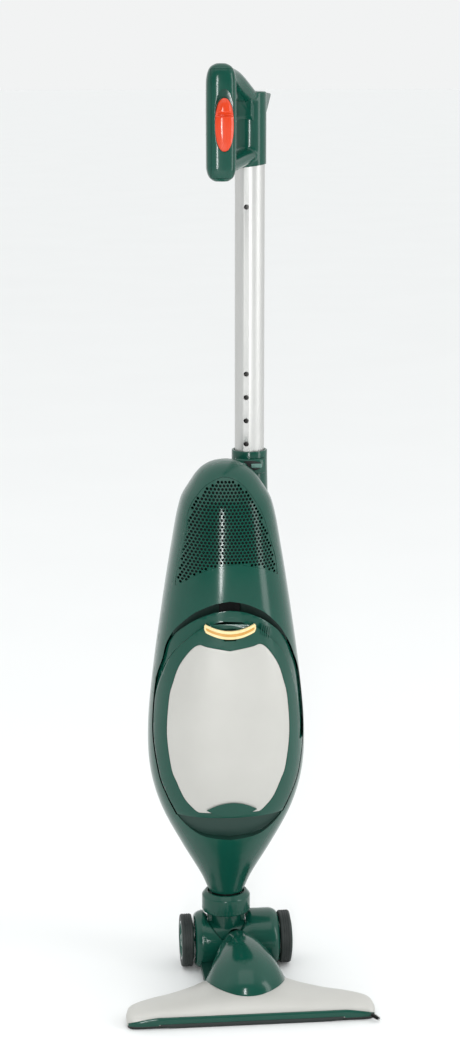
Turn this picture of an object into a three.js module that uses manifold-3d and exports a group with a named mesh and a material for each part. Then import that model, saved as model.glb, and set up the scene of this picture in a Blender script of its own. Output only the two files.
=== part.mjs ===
// An upright vacuum cleaner with a telescopic tube: floor nozzle, tilting knuckle on two wheels,
// bag body with a front door, motor behind an exhaust grille, and a loop grip.
// Millimetres, +Z up, front towards -Y. The origin is on the sole of the nozzle, on the floor.
import * as THREE from 'three';
import { mergeVertices } from 'three/addons/utils/BufferGeometryUtils.js';
import Module from 'manifold-3d';

const wasm = await Module();
wasm.setup();

// ---------------------------------------------------------------- driving dimensions
const gap = 0.3; // between touching pieces
const wall = 2.5; // moulded shells
const runningClearance = 1.1; // between the tube and the tunnel it slides in

// The body: an egg on a vertical axis. Each row is height, half width, front depth, back depth.
const bodyX = -12;
const axleY = 128; // the wheel axle, the neck and the body stand over one another
const neckBottom = 98;
const bodyProfile = [
  [98, 21.5, 21.5, 21.5],
  [119, 30.6, 29, 28],
  [163, 55.5, 50, 44],
  [212, 80, 68, 56],
  [257, 92, 76, 63],
  [310, 94, 79, 66],
  [376, 88, 80, 67],
  [451, 77.6, 78, 67],
  [530, 65, 70, 66],
  [585, 54, 58, 60],
  [607, 42, 46, 48],
  [622, 31, 33, 34],
  [630, 19, 20, 21],
  [633, 8, 9, 9],
];
const sectionPower = 2.3; // 2 is an ellipse, more is squarer

// The bag door: right half of its outline as half width and height, from the flat bottom edge up.
const doorOutline = [
  [63, 213], [75, 237], [83.5, 262], [89.6, 311], [85, 372], [75.5, 406], [70, 422], [61, 436.5], [52.5, 445.5],
  [43, 453.5], [33, 459.5], [17, 466], [0, 468.5],
];
const coverEdge = [
  [64.5, 211.5], [76.5, 236.4], [85, 261.5], [91, 311], [86.4, 372.5], [77.5, 406], [72.5, 422],
  [63.5, 440], [55, 451], [46, 460.5], [36, 468], [18, 476.5], [0, 480],
];
const faceLean = { from: 390, to: 440, across: -3 }; // the top of the door and its arch stand left of the middle
const faceX = bodyX + faceLean.across; // middle of the insert and the latch
const insertOutline = [
  [36, 219.5], [42, 224], [53, 237], [62, 257], [68, 274], [72.7, 315], [70, 358], [65, 380], [58, 401],
  [46, 420], [36, 428], [26, 426], [0, 421.5],
];
const insertThickness = 2;
const doorWall = 4.5;
const doorSkirtInset = 12;
const doorHinge = { y: 80, z: 218, radius: 1.8, halfLength: 50 };
const doorPocket = [
  [63, 211.6], [58, 205], [46, 194], [30, 185.5], [0, 181],
];
const sealPlaneY = 89;
const latch = { halfWidth: 30, height: 9.5, middleZ: 441, rise: 8.5, proud: 4, travel: 6 };

// Dome: the perforated grille and the split between front covers and rear housing, as [y, z].
const grilleOutline = [
  [-64, 492], [-48, 504], [-36, 512], [-16, 520], [4, 522.5], [22, 519.5], [40, 514], [56, 505],
  [53.5, 526], [47, 549], [39, 575], [32, 589], [21, 605], [10, 615], [-4, 619.5],
  [-15, 617], [-27, 610], [-37, 599], [-45, 587], [-52, 565], [-56, 545], [-59.5, 526], [-62, 508],
];
const grilleMiddle = [-4, 560];
const grilleHole = { radius: 6.5, pitch: 21 };
const splitLine = [
  [119, 60], [119, 430], [95, 500], [92, 560], [105, 600], [122, 640],
];
const coverTail = 356; // height down to which the dome cover's flanks reach

// Telescopic tube, its tunnel in the rear housing, and the catch.
const tube = { x: 21, y: 173, radius: 17.5, wall: 1.5, bottom: 578, top: 1030 };
const tunnel = { wall: 2.6, floor: 256, rim: 637 };
const catchHoles = { x: 15.3, radius: 3, first: 618, pitch: 28, last: 11 };
const catchSlot = { x: 19.5, z: 621.5, halfWidth: 14.5, halfHeight: 6, face: 146.2, floor: 148.6 };
const catchKnob = { length: 13, height: 5, proud: 1.6, travel: 8, pinTravel: 2.5 };

// Motor and fan stand on one vertical axis.
const motor = { x: -14, y: 112, radius: 32, bore: 19, bottom: 519, top: 566 };
const fan = { radius: 42, inlet: 15, bottom: 478.5, height: 40, wall: 2 };
const shaftRadius = 3;
const inletCollar = { radius: 22, wall: 2.5, bottom: 446, top: 470 };

// Bag chamber and suction duct.
const chamberBack = 148.5;
const chamberInset = 15; // from the door outline
const duct = { radius: 16, wall: 2, top: 241 };

// Floor nozzle: right half as half width, rear edge y, height of the top and front edge y.
const nozzleFront = -53.5;
const nozzleStations = [
  [0, 46, 30, nozzleFront], [40, 42.5, 29, nozzleFront], [64, 27, 25.5, nozzleFront],
  [90, 12, 23, nozzleFront], [115, 1, 21.5, nozzleFront], [134, -10, 19.5, nozzleFront],
  [142, -18, 16.5, nozzleFront + 2], [145.2, -30, 12, nozzleFront + 7],
];
const soleThickness = 3.6;
const suctionSlot = { halfWidth: 118, y0: -40, y1: -24 };
const bumper = { bottom: 4, top: 13.8, reach: 2.4 };

// Hood between nozzle and knuckle: centre y, centre z, radius and tilt of each ring in degrees.
const hoodRings = [
  [14, 24, 47.5, 0], [19, 31, 44.5, 12], [34, 37, 39, 35], [60, 38, 31, 60], [97, 35, 20, 90],
];

// Wheels and knuckle.
const axle = { z: 32, radius: 3, halfLength: 66.5 };
const wheel = { radius: 32, width: 15, outer: 68, rim: 24 };
const cheek = { radius: 36, clearance: 1.1, outer: 51.8, rounding: 12, floor: 4.5, saddleTop: 60, saddleLow: 34 };
const elbow = { radius: 27, halfWidth: 22.5, neck: 22, bore: 14 };
const collar = { radius: 29.5, bottom: 71, top: 96.5 };

const housingScrew = { radius: 3, sunk: 5, proud: 1.2 };

// Grip: a bar in front of the tube, a strap over the fingers' gap and a sleeve on the tube.
const bar = { x: -21, y: 91, halfWidth: 17, halfDepth: 14, bottom: 960, top: 1091 };
const sleeve = { radius: 18.9, bottom: 972, top: 1058 };
const slider = { x: -18.5, halfWidth: 10.5, bottom: 994, top: 1053, proud: 4.5, travel: 9 };

// ---------------------------------------------------------------- finishes
const finishes = {
  green: { color: 0x1f5347, roughness: 0.35, metalness: 0 },
  darkGreen: { color: 0x123a33, roughness: 0.5, metalness: 0 },
  silver: { color: 0xc9cac6, roughness: 0.4, metalness: 0.2 },
  aluminium: { color: 0xcfd1d1, roughness: 0.3, metalness: 1 },
  orange: { color: 0xe4512f, roughness: 0.3, metalness: 0 },
  cream: { color: 0xf0d494, roughness: 0.4, metalness: 0 },
  black: { color: 0x1b1d1d, roughness: 0.7, metalness: 0 },
  rubber: { color: 0x26302d, roughness: 0.85, metalness: 0 },
  steel: { color: 0x9a9da0, roughness: 0.35, metalness: 1 },
  paper: { color: 0xd9cdb2, roughness: 0.9, metalness: 0 },
  foam: { color: 0x6f7472, roughness: 0.95, metalness: 0 },
  copper: { color: 0x9c5a32, roughness: 0.45, metalness: 0.6 },
  board: { color: 0x2d6b3c, roughness: 0.6, metalness: 0 },
  felt: { color: 0x9b2f2a, roughness: 0.95, metalness: 0 },
};

// ---------------------------------------------------------------- solids
const v3 = (x, y, z) => new THREE.Vector3(x, y, z);

// A closed geometry as a solid with its faces pointing out.
function solid(geometry) {
  geometry.deleteAttribute('normal');
  geometry.deleteAttribute('uv');
  const merged = mergeVertices(geometry, 1e-4);
  const make = (triVerts) => new wasm.Manifold(new wasm.Mesh({
    numProp: 3,
    vertProperties: merged.attributes.position.array,
    triVerts,
  }));
  const triangles = new Uint32Array(merged.index.array);
  const made = make(triangles);
  return made.volume() < 0 ? make(triangles.reverse()) : made;
}

const join = (first, ...others) => others.reduce((a, b) => a.add(b), first);
const cut = (first, ...others) => others.reduce((a, b) => a.subtract(b), first);
const common = (first, ...others) => others.reduce((a, b) => a.intersect(b), first);

function block([x0, x1], [y0, y1], [z0, z1]) {
  const geometry = new THREE.BoxGeometry(x1 - x0, y1 - y0, z1 - z0);
  return solid(geometry.translate((x0 + x1) / 2, (y0 + y1) / 2, (z0 + z1) / 2));
}

// A round bar between two points, which may taper.
function rod(radius, start, end, sides = 20, endRadius = radius) {
  const along = end.clone().sub(start);
  const geometry = new THREE.CylinderGeometry(endRadius, radius, along.length(), sides);
  geometry.applyQuaternion(new THREE.Quaternion().setFromUnitVectors(v3(0, 1, 0), along.normalize()));
  return solid(geometry.translate(...start.clone().add(end).multiplyScalar(0.5).toArray()));
}

// A round pipe between two points.
function pipe(outer, inner, start, end, sides = 20) {
  const reach = end.clone().sub(start).normalize();
  return cut(rod(outer, start, end, sides), rod(inner, start.clone().sub(reach), end.clone().add(reach), sides));
}

const upright = (radius, x, y, z0, z1, sides) => rod(radius, v3(x, y, z0), v3(x, y, z1), sides);
const uprightPipe = (outer, inner, x, y, z0, z1, sides) => pipe(outer, inner, v3(x, y, z0), v3(x, y, z1), sides);

// A flat outline swept along one row axis, from low to high.
function prism(points, axis, low, high) {
  const shape = new THREE.Shape(points.map(([a, b]) => new THREE.Vector2(a, b)));
  const geometry = new THREE.ExtrudeGeometry(shape, { depth: high - low, bevelEnabled: false });
  const turns = {
    X: new THREE.Matrix4().makeBasis(v3(0, 1, 0), v3(0, 0, 1), v3(1, 0, 0)).setPosition(low, 0, 0),
    Y: new THREE.Matrix4().makeBasis(v3(1, 0, 0), v3(0, 0, 1), v3(0, -1, 0)).setPosition(0, high, 0),
    Z: new THREE.Matrix4().setPosition(0, 0, low),
  };
  return solid(geometry.applyMatrix4(turns[axis]));
}

// A closed skin over rings that all have the same number of points.
function loft(rings) {
  const count = rings[0].length;
  const points = rings.flat();
  const middle = (ring) => ring.reduce((sum, p) => sum.add(p), v3(0, 0, 0)).divideScalar(count);
  points.push(middle(rings[0]), middle(rings.at(-1)));
  const bottom = points.length - 2;
  const top = points.length - 1;
  const last = (rings.length - 1) * count;
  const index = [];
  for (let j = 0; j < count; j++) {
    const next = (j + 1) % count;
    for (let row = 0; row < last; row += count) {
      index.push(row + j, row + next, row + count + next);
      index.push(row + j, row + count + next, row + count + j);
    }
    index.push(bottom, next, j, top, last + j, last + next);
  }
  const geometry = new THREE.BufferGeometry().setFromPoints(points);
  return solid(geometry.setIndex(index));
}

// A smooth value from a table whose rows start with the place along it.
function smooth(table, place, column) {
  const last = table.length - 1;
  let i = 0;
  while (i < last - 1 && place > table[i + 1][0]) i++;
  const slope = (k) => {
    const a = table[Math.max(k - 1, 0)];
    const b = table[Math.min(k + 1, last)];
    return (b[column] - a[column]) / (b[0] - a[0]);
  };
  const span = table[i + 1][0] - table[i][0];
  const t = THREE.MathUtils.clamp((place - table[i][0]) / span, 0, 1);
  const a = table[i][column];
  const b = table[i + 1][column];
  return (2 * t ** 3 - 3 * t ** 2 + 1) * a + (t ** 3 - 2 * t ** 2 + t) * span * slope(i)
    + (3 * t ** 2 - 2 * t ** 3) * b + (t ** 3 - t ** 2) * span * slope(i + 1);
}

// An outline that mirrors a right half: [half width, height] rows from bottom to top.
function mirrored(half, centreX, grow = 0) {
  const curve = new THREE.SplineCurve(half.map(([x, z]) => new THREE.Vector2(x, z)));
  const right = curve.getPoints(half.length + 1).map((p) => [p.x, p.y]);
  const left = right.filter(([x]) => x > 0.01).map(([x, z]) => [-x, z]).reverse();
  return grown([...right, ...left], grow).map(([x, z]) => [x + centreX, z]);
}

// An outline moved outwards by a distance, or inwards by a negative one.
function grown(points, distance) {
  if (distance === 0) return points;
  const count = points.length;
  return points.map(([x, z], i) => {
    const before = points[(i + count - 1) % count];
    const after = points[(i + 1) % count];
    const a = new THREE.Vector2(z - before[1], before[0] - x).normalize();
    const b = new THREE.Vector2(after[1] - z, x - after[0]).normalize();
    const out = a.clone().add(b);
    out.multiplyScalar(distance / Math.max(1 + a.dot(b), 0.5));
    return [x + out.x, z + out.y];
  });
}

// The door's outline, or the arch round it, leaned at the top.
function doorShape(half, grow = 0) {
  return mirrored(half, bodyX, grow).map(([x, z]) => [
    x + faceLean.across * THREE.MathUtils.smoothstep(z, faceLean.from, faceLean.to), z,
  ]);
}

// ---------------------------------------------------------------- the group
const vacuum = new THREE.Group();

function part(name, made, finish) {
  const mesh = made.getMesh();
  const geometry = new THREE.BufferGeometry();
  geometry.setAttribute('position', new THREE.BufferAttribute(mesh.vertProperties, 3));
  geometry.setIndex(new THREE.BufferAttribute(mesh.triVerts, 1));
  geometry.computeVertexNormals();
  const object = new THREE.Mesh(geometry, new THREE.MeshStandardMaterial(finishes[finish]));
  object.name = name;
  vacuum.add(object);
}

// ---------------------------------------------------------------- floor nozzle
// The cover is a wing: each station along X is half an oval, flat below.
function wing(inset) {
  const right = nozzleStations.map((row) => row[0]);
  const xs = [...right.slice(1).reverse().map((x) => -x), ...right];
  const arc = 7;
  return loft(xs.map((x) => {
    const reach = Math.abs(x);
    const rear = smooth(nozzleStations, reach, 1) - inset;
    const top = smooth(nozzleStations, reach, 2) - inset;
    const front = smooth(nozzleStations, reach, 3) + inset;
    const floor = inset > 0 ? soleThickness - 1 : soleThickness + gap;
    const ring = [];
    for (let i = 0; i <= arc; i++) {
      const angle = (Math.PI * i) / arc;
      const y = (front + rear) / 2 - ((rear - front) / 2) * Math.cos(angle);
      ring.push(v3(x * (1 - inset / 146), y, floor + (top - floor) * Math.sin(angle) ** 0.75));
    }
    return ring;
  }));
}

function nozzleOutline(grow) {
  const fronts = nozzleStations.map(([x, , , front]) => [x, front]);
  const rears = nozzleStations.map(([x, rear]) => [x, rear]).reverse();
  const half = [...fronts.slice(1).filter(([x]) => x > 130), ...rears];
  const left = half.slice(0, -1).map(([x, y]) => [-x, y]).reverse();
  return grown([...half, ...left], grow);
}

const sole = prism(nozzleOutline(-1), 'Z', 0, soleThickness);
const { halfWidth: slotHalf, y0: slotFront, y1: slotRear } = suctionSlot;
const slot = block([-slotHalf, slotHalf], [slotFront, slotRear], [-1, soleThickness + 1]);
const bristleGroove = block([-slotHalf, slotHalf], [slotRear + 6, slotRear + 12], [1.2, soleThickness + 1]);
const lifterRecess = (side) => block(
  [Math.min(side * 30, side * 112), Math.max(side * 30, side * 112)], [slotRear + 14, slotRear + 19.5], [-1, 1.4],
);
part('nozzle_base', cut(sole, slot, bristleGroove, lifterRecess(-1), lifterRecess(1)), 'steel');

const hoodHole = upright(hoodRings[0][2] - 6, 0, hoodRings[0][0], 0, 60, 20);
part('nozzle_cover', cut(wing(0), wing(wall), hoodHole), 'silver');

const bumperBand = cut(
  prism(nozzleOutline(bumper.reach), 'Z', bumper.bottom, bumper.top),
  prism(nozzleOutline(gap), 'Z', bumper.bottom - 1, bumper.top + 1),
);
const bumperFront = block([-200, 200], [-80, nozzleFront + 25], [0, 40]);
part('nozzle_bumper', common(bumperBand, bumperFront), 'green');
part('front_lip', block([-107, 107], [nozzleFront - 2.2, nozzleFront + 1 - gap], [0.2, soleThickness]), 'rubber');
part('corner_tuft', rod(2.2, v3(138, -58.6, 9), v3(150, -62, 3.6), 10), 'rubber');
part('rear_bristles', block(
  [-slotHalf + gap, slotHalf - gap], [slotRear + 6 + gap, slotRear + 12 - gap], [1.5, 10],
), 'black');
for (const [side, word] of [[-1, 'left'], [1, 'right']]) {
  const xs = [side * (30 + gap), side * (112 - gap)].sort((a, b) => a - b);
  part(`thread_lifter_${word}`, block(xs, [slotRear + 14 + gap, slotRear + 19.5 - gap], [0.1, 1.1]), 'felt');
}

// The hood is a bell-shaped duct that leans back from the nozzle to the knuckle.
function hoodSkin(inset) {
  return loft(hoodRings.map(([y, z, radius, tilt]) => {
    const lean = THREE.MathUtils.degToRad(tilt);
    return Array.from({ length: 20 }, (_, i) => {
      const angle = (2 * Math.PI * i) / 20;
      const across = (radius - inset) * Math.sin(angle);
      return v3(
        (radius - inset) * Math.cos(angle), y + across * Math.cos(lean), z - across * Math.sin(lean),
      );
    });
  }));
}
const onAxle = (radius, x0, x1, sides) => rod(radius, v3(x0, axleY, axle.z), v3(x1, axleY, axle.z), sides);
const carriageSpace = onAxle(cheek.radius + gap, -80, 80, 24);
const hoodMouth = join(
  upright(hoodRings[0][2] - 4.5, 0, hoodRings[0][0], 10, 26, 28),
  rod(elbow.bore, v3(0, 80, 38), v3(0, 112, 38)),
);
const yokeTop = 15;
const underHood = join(wing(-gap), block([-60, 60], [40, 105], [-5, yokeTop + gap]));
part('nozzle_hood', cut(hoodSkin(0), hoodSkin(wall), hoodMouth, underHood, carriageSpace), 'green');

// ---------------------------------------------------------------- carriage, wheels and knuckle
// Each cheek is a round-edged drum between the elbow and its wheel. In front of the elbow the two
// cheeks run on as a saddle and meet under the neck.
const cheekHoleX = -3;
const airHole = rod(elbow.bore - 2, v3(cheekHoleX, 60, 38), v3(cheekHoleX, axleY - 20, 38));
for (const [side, word] of [[-1, 'left'], [1, 'right']]) {
  const at = (x) => side * x;
  const inner = bodyX + side * (elbow.halfWidth + cheek.clearance);
  const middle = bodyX + side * (gap / 2);
  const drumEnd = (x0, r0, x1, r1) => rod(r0, v3(x0, axleY, axle.z), v3(x1, axleY, axle.z), 24, r1);
  const roundStart = at(cheek.outer - cheek.rounding);
  const roundMiddle = at(cheek.outer - cheek.rounding / 3);
  const rounded = join(
    onAxle(cheek.radius, inner + side * 5, roundStart, 24),
    drumEnd(inner + side * 5, cheek.radius, inner, cheek.radius - 4),
    drumEnd(roundStart, cheek.radius, roundMiddle, cheek.radius - 2.6),
    drumEnd(roundMiddle, cheek.radius - 2.6, at(cheek.outer), cheek.radius - 8),
  );
  const saddleOutline = [
    [middle, -10], [inner + side * 6, -10], [inner + side * 6, cheek.saddleTop], [inner, cheek.saddleTop],
    [middle, cheek.saddleLow],
  ];
  const saddle = cut(
    common(onAxle(cheek.radius, inner + side * 6, middle, 24), prism(saddleOutline, 'Y', 60, axleY - 8)),
    onAxle(elbow.radius + 0.9, -60, 60, 24),
  );
  const wheelInner = wheel.outer - wheel.width;
  const hollow = onAxle(cheek.radius - 11, inner + side * wall, at(cheek.outer - wall), 28);
  const feet = block([-80, 80], [60, 200], [-20, cheek.floor]);
  const bore = onAxle(axle.radius + gap, -60, 60);
  part(`cheek_${word}`, cut(join(rounded, saddle), hollow, feet, bore, airHole), 'green');

  const tread = cut(
    onAxle(wheel.radius, at(wheelInner), at(wheel.outer - 1.5), 28),
    onAxle(wheel.rim, at(wheelInner - 1), at(wheel.outer + 1), 28),
  );
  part(`wheel_tyre_${word}`, tread, 'rubber');
  const disc = join(
    onAxle(wheel.rim - gap, at(wheelInner), at(wheel.outer), 28),
    onAxle(7, at(wheelInner - 0.6), at(wheel.outer), 20),
  );
  part(`wheel_hub_${word}`, cut(disc, onAxle(axle.radius + 0.1, at(wheelInner - 3), at(wheel.outer + 2))), 'green');
}
part('wheel_axle', onAxle(axle.radius, -axle.halfLength, axle.halfLength), 'steel');

const yoke = block([-46, 46], [50, axleY - 12], [6.5, yokeTop]);
part('carriage_yoke', cut(yoke, carriageSpace, wing(-gap)), 'darkGreen');

// The knuckle: a drum on the axle with a neck, bored for the air.
const drum = onAxle(elbow.radius, bodyX - elbow.halfWidth, bodyX + elbow.halfWidth, 24);
const neck = upright(elbow.neck - 3, bodyX, axleY, axle.z, collar.top - 8, 24);
const airway = join(
  upright(elbow.bore, bodyX, axleY, axle.z + 8, collar.top + 1, 24),
  rod(elbow.bore - 2, v3(cheekHoleX, axleY, 42), v3(cheekHoleX, axleY - 30, 38)),
);
const neckWeb = block(
  [bodyX - elbow.halfWidth, bodyX + elbow.halfWidth], [axleY - 6, axleY + 12], [axle.z, collar.bottom - gap],
);
part('knuckle_elbow', cut(join(drum, neck, neckWeb), airway, onAxle(axle.radius + gap, -60, 60)), 'green');

const collarBore = elbow.neck - 3 + gap;
const ringBlank = new THREE.LatheGeometry([
  [collarBore, collar.bottom], [collar.radius - 1.5, collar.bottom], [collar.radius, collar.bottom + 2],
  [collar.radius, collar.top - 5], [collar.radius - 5, collar.top], [elbow.neck + gap, collar.top],
  [elbow.neck + gap, collar.top - 7.5], [collarBore, collar.top - 7.5], [collarBore, collar.bottom],
].map(([r, z]) => new THREE.Vector2(r, z)), 24);
ringBlank.rotateX(Math.PI / 2);
const swivelRing = solid(ringBlank.translate(bodyX, axleY, 0));
part('swivel_collar', swivelRing, 'green');

// ---------------------------------------------------------------- body shells
const bodyTop = bodyProfile.at(-1)[0];
const bodyMiddle = (bodyTop + neckBottom) / 2;
const widest = Math.max(...bodyProfile.map((row) => row[1]));
const deepest = Math.max(...bodyProfile.map((row) => row[2]));

// The egg's skin, moved in by an inset by drawing it together about its middle.
function egg(inset) {
  const turns = 24;
  const heights = [];
  for (const [i, row] of bodyProfile.entries()) {
    heights.push(row[0]);
    const next = bodyProfile[i + 1];
    if (next && next[0] - row[0] > 60) heights.push((row[0] + next[0]) / 2);
  }
  const rings = heights.map((z) => {
    const half = smooth(bodyProfile, z, 1);
    const front = smooth(bodyProfile, z, 2);
    const back = smooth(bodyProfile, z, 3);
    const power = THREE.MathUtils.lerp(2, sectionPower, THREE.MathUtils.clamp((z - neckBottom) / 80, 0, 1));
    return Array.from({ length: turns }, (_, i) => {
      const angle = (2 * Math.PI * i) / turns;
      const x = half * Math.sign(Math.cos(angle)) * Math.abs(Math.cos(angle)) ** (2 / power);
      const depth = Math.sin(angle) < 0 ? front : back;
      const y = depth * Math.sign(Math.sin(angle)) * Math.abs(Math.sin(angle)) ** (2 / power);
      return v3(
        bodyX + x * (1 - inset / widest),
        axleY + y * (1 - inset / deepest),
        bodyMiddle + (z - bodyMiddle) * (1 - (2 * inset) / (bodyTop - neckBottom)),
      );
    });
  });
  return loft(rings);
}

const skin = egg(0);
const inside = egg(wall);
const shell = cut(skin, inside);
const wide = [-150, 150];

function ahead(offset) {
  const front = splitLine.map(([y, z]) => [y - offset, z]);
  return prism([[-40, 60], ...front, [-40, 640]], 'X', -150, 150);
}

const coverOpening = prism(doorShape(coverEdge), 'Y', -20, 130);
const grilleEdge = (grow) => {
  const across = 1 + grow / 50;
  const up = 1 + grow / 58;
  const [middleX, middleZ] = grilleMiddle;
  return grilleOutline.map(([x, z]) => [
    bodyX + middleX + (x - middleX) * across, middleZ + (z - middleZ) * up,
  ]);
};

// Rear housing: the back of the egg with the tunnel that the tube slides in.
const tunnelInner = tube.radius + runningClearance;
const tunnelOuter = tunnelInner + tunnel.wall;
const tunnelBlank = upright(tunnelOuter, tube.x, tube.y, tunnel.floor, tunnel.rim, 24);
const shoulder = rod(tunnelOuter + 6, v3(tube.x - 4, tube.y - 2, 520), v3(tube.x, tube.y, 626), 24, tunnelOuter);
const catchBoss = common(
  upright(tube.y - catchSlot.face, tube.x, tube.y, catchSlot.z - 10.5, catchSlot.z + 7.5, 28),
  block([tube.x - 18, tube.x + 16], [130, tube.y], [600, 640]),
);
const behind = cut(block(wide, [-60, 260], [60, 660]), ahead(0));
const rearSkin = common(shell, behind);
const shoulderSkin = cut(shoulder, inside, ahead(0));
const oval = new THREE.Shape();
oval.absellipse(catchSlot.x, catchSlot.z, catchSlot.halfWidth, catchSlot.halfHeight, 0, 2 * Math.PI);
const ovalOutline = oval.getPoints(10).slice(0, -1).map((p) => [p.x, p.y]);
const catchBay = prism(ovalOutline, 'Y', 120, catchSlot.floor);
const pinHole = (z, y1) => rod(catchHoles.radius, v3(catchHoles.x, 140, z), v3(catchHoles.x, y1, z), 14);
const tunnelBore = upright(tunnelInner, tube.x, tube.y, tunnel.floor + wall, tunnel.rim + 1, 24);
const drain = upright(5, tube.x, tube.y, tunnel.floor - 1, tunnel.floor + wall + 1, 16);
const neckBore = upright(duct.radius + gap, bodyX, axleY, neckBottom - 2, neckBottom + 24, 28);
const housingBlank = join(rearSkin, tunnelBlank, shoulderSkin, catchBoss);

// Each housing screw stands in a bore in the back of the shell.
const housingScrews = [
  [-58, 300, 'lower_left'], [-50, 450, 'upper_left'], [62, 300, 'lower_right'], [60, 450, 'upper_right'],
];
const skinBack = (x, z) => {
  const share = Math.abs(x / smooth(bodyProfile, z, 1)) ** sectionPower;
  return axleY + smooth(bodyProfile, z, 3) * (1 - share) ** (1 / sectionPower);
};
const alongY = (radius, x, z, y0, y1, sides) => rod(radius, v3(bodyX + x, y0, z), v3(bodyX + x, y1, z), sides);
const screwBores = housingScrews.map(([x, z]) => (
  alongY(housingScrew.radius + gap, x, z, skinBack(x, z) - 12, skinBack(x, z) + 12, 14)
));
const rearHousing = cut(
  housingBlank, tunnelBore, catchBay, pinHole(catchHoles.first, tube.y), drain, neckBore, ...screwBores,
);
part('rear_housing', rearHousing, 'green');
for (const [x, z, word] of housingScrews) {
  const y = skinBack(x, z);
  const screw = alongY(housingScrew.radius, x, z, y - housingScrew.sunk, y + housingScrew.proud, 12);
  part(`housing_screw_${word}`, screw, 'steel');
}

// Front frame: the jambs of the door opening, the pocket under the door and the front of the neck.
const lowFront = common(skin, ahead(gap), block(wide, [-20, 130], [neckBottom - 1, coverTail - gap]));
const frameHollow = common(inside, block(wide, [92, 130], [neckBottom, coverTail]));
const jambHollow = common(inside, block(wide, [-20, 130], [211.5, coverTail]));
const pocket = prism(mirrored(doorPocket, bodyX), 'Y', 20, 86);
const frame = cut(lowFront, frameHollow, jambHollow, coverOpening, pocket, neckBore);

// Each ear carries the hinge pin and stands on a foot behind the path of the door's lower edge.
const frameEar = (side) => {
  const xs = [bodyX + side * 45.5, bodyX + side * 50].sort((a, b) => a - b);
  return join(block(xs, [77.4, 89], [215.2, 223.5]), block(xs, [85.2, 89], [206, 223.5]));
};
const pinBore = (clearance) => rod(
  doorHinge.radius + clearance,
  v3(bodyX - 60, doorHinge.y, doorHinge.z), v3(bodyX + 60, doorHinge.y, doorHinge.z), 14,
);
const ears = join(frameEar(-1), frameEar(1));
part('front_frame', cut(join(frame, ears), pinBore(gap)), 'darkGreen');
part('door_hinge_pin', rod(
  doorHinge.radius,
  v3(bodyX - doorHinge.halfLength, doorHinge.y, doorHinge.z),
  v3(bodyX + doorHinge.halfLength, doorHinge.y, doorHinge.z), 14,
), 'steel');

// Dome cover with its grille.
const highFront = common(shell, ahead(gap), block(wide, [-20, 130], [coverTail, 640]));
const tubeKeepOut = join(
  upright(tunnelOuter + gap, tube.x, tube.y, 400, 660, 24),
  rod(tunnelOuter + 6 + gap, v3(tube.x - 4, tube.y - 2, 520), v3(tube.x, tube.y, 626), 24, tunnelOuter + gap),
);
const grilleOpening = common(prism(grilleEdge(0), 'Y', -20, 128), ahead(4));
part('dome_cover', cut(highFront, coverOpening, grilleOpening, tubeKeepOut), 'green');

const grillePlate = common(cut(egg(0.3), egg(2.3)), prism(grilleEdge(-gap), 'Y', -20, 128), ahead(4 + gap));
const grilleHoles = [];
const holeZone = grilleEdge(-7);
const inZone = (x, z) => holeZone.reduce((odd, [x0, z0], i) => {
  const [x1, z1] = holeZone[(i + 1) % holeZone.length];
  const crosses = z0 > z !== z1 > z && x < x0 + ((z - z0) / (z1 - z0)) * (x1 - x0);
  return crosses ? !odd : odd;
}, false);
for (let row = 0; row < 6; row++) {
  for (let column = -3; column <= 3; column++) {
    const x = bodyX + (column + (row % 2) / 2) * grilleHole.pitch;
    const z = 520 + row * grilleHole.pitch * 0.87;
    if (inZone(x, z)) grilleHoles.push(rod(grilleHole.radius, v3(x, 20, z), v3(x, 127, z), 6));
  }
}
part('exhaust_grille', cut(grillePlate, ...grilleHoles), 'darkGreen');
const filterBlank = common(cut(egg(4), egg(8)), prism(grilleEdge(-6), 'Y', -20, 118));
part('exhaust_filter', filterBlank, 'foam');

// ---------------------------------------------------------------- bag chamber
const chamberOutline = (grow) => doorShape(doorOutline, grow - chamberInset);
const chamberBox = cut(
  prism(chamberOutline(0), 'Y', sealPlaneY + 1, chamberBack),
  prism(chamberOutline(-2), 'Y', sealPlaneY - 1, chamberBack - 2),
);
const bulkheadEdge = doorShape(coverEdge, 8);
const bulkhead = common(
  cut(egg(doorWall + 1), prism(chamberOutline(-2), 'Y', 0, 200)),
  prism(bulkheadEdge, 'Y', sealPlaneY + gap, sealPlaneY + gap + wall),
  block(wide, [0, 200], [224, inletCollar.top - 1]),
);
const outletRing = uprightPipe(
  inletCollar.radius, inletCollar.radius - inletCollar.wall, motor.x, motor.y, inletCollar.bottom, inletCollar.top, 28,
);
const outletBore = upright(inletCollar.radius - inletCollar.wall, motor.x, motor.y, 430, inletCollar.top + 1, 28);
const ductHole = upright(duct.radius + gap, bodyX, axleY, 200, duct.top, 28);
part('bag_chamber', cut(join(chamberBox, bulkhead, outletRing), outletBore, ductHole), 'darkGreen');

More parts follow.
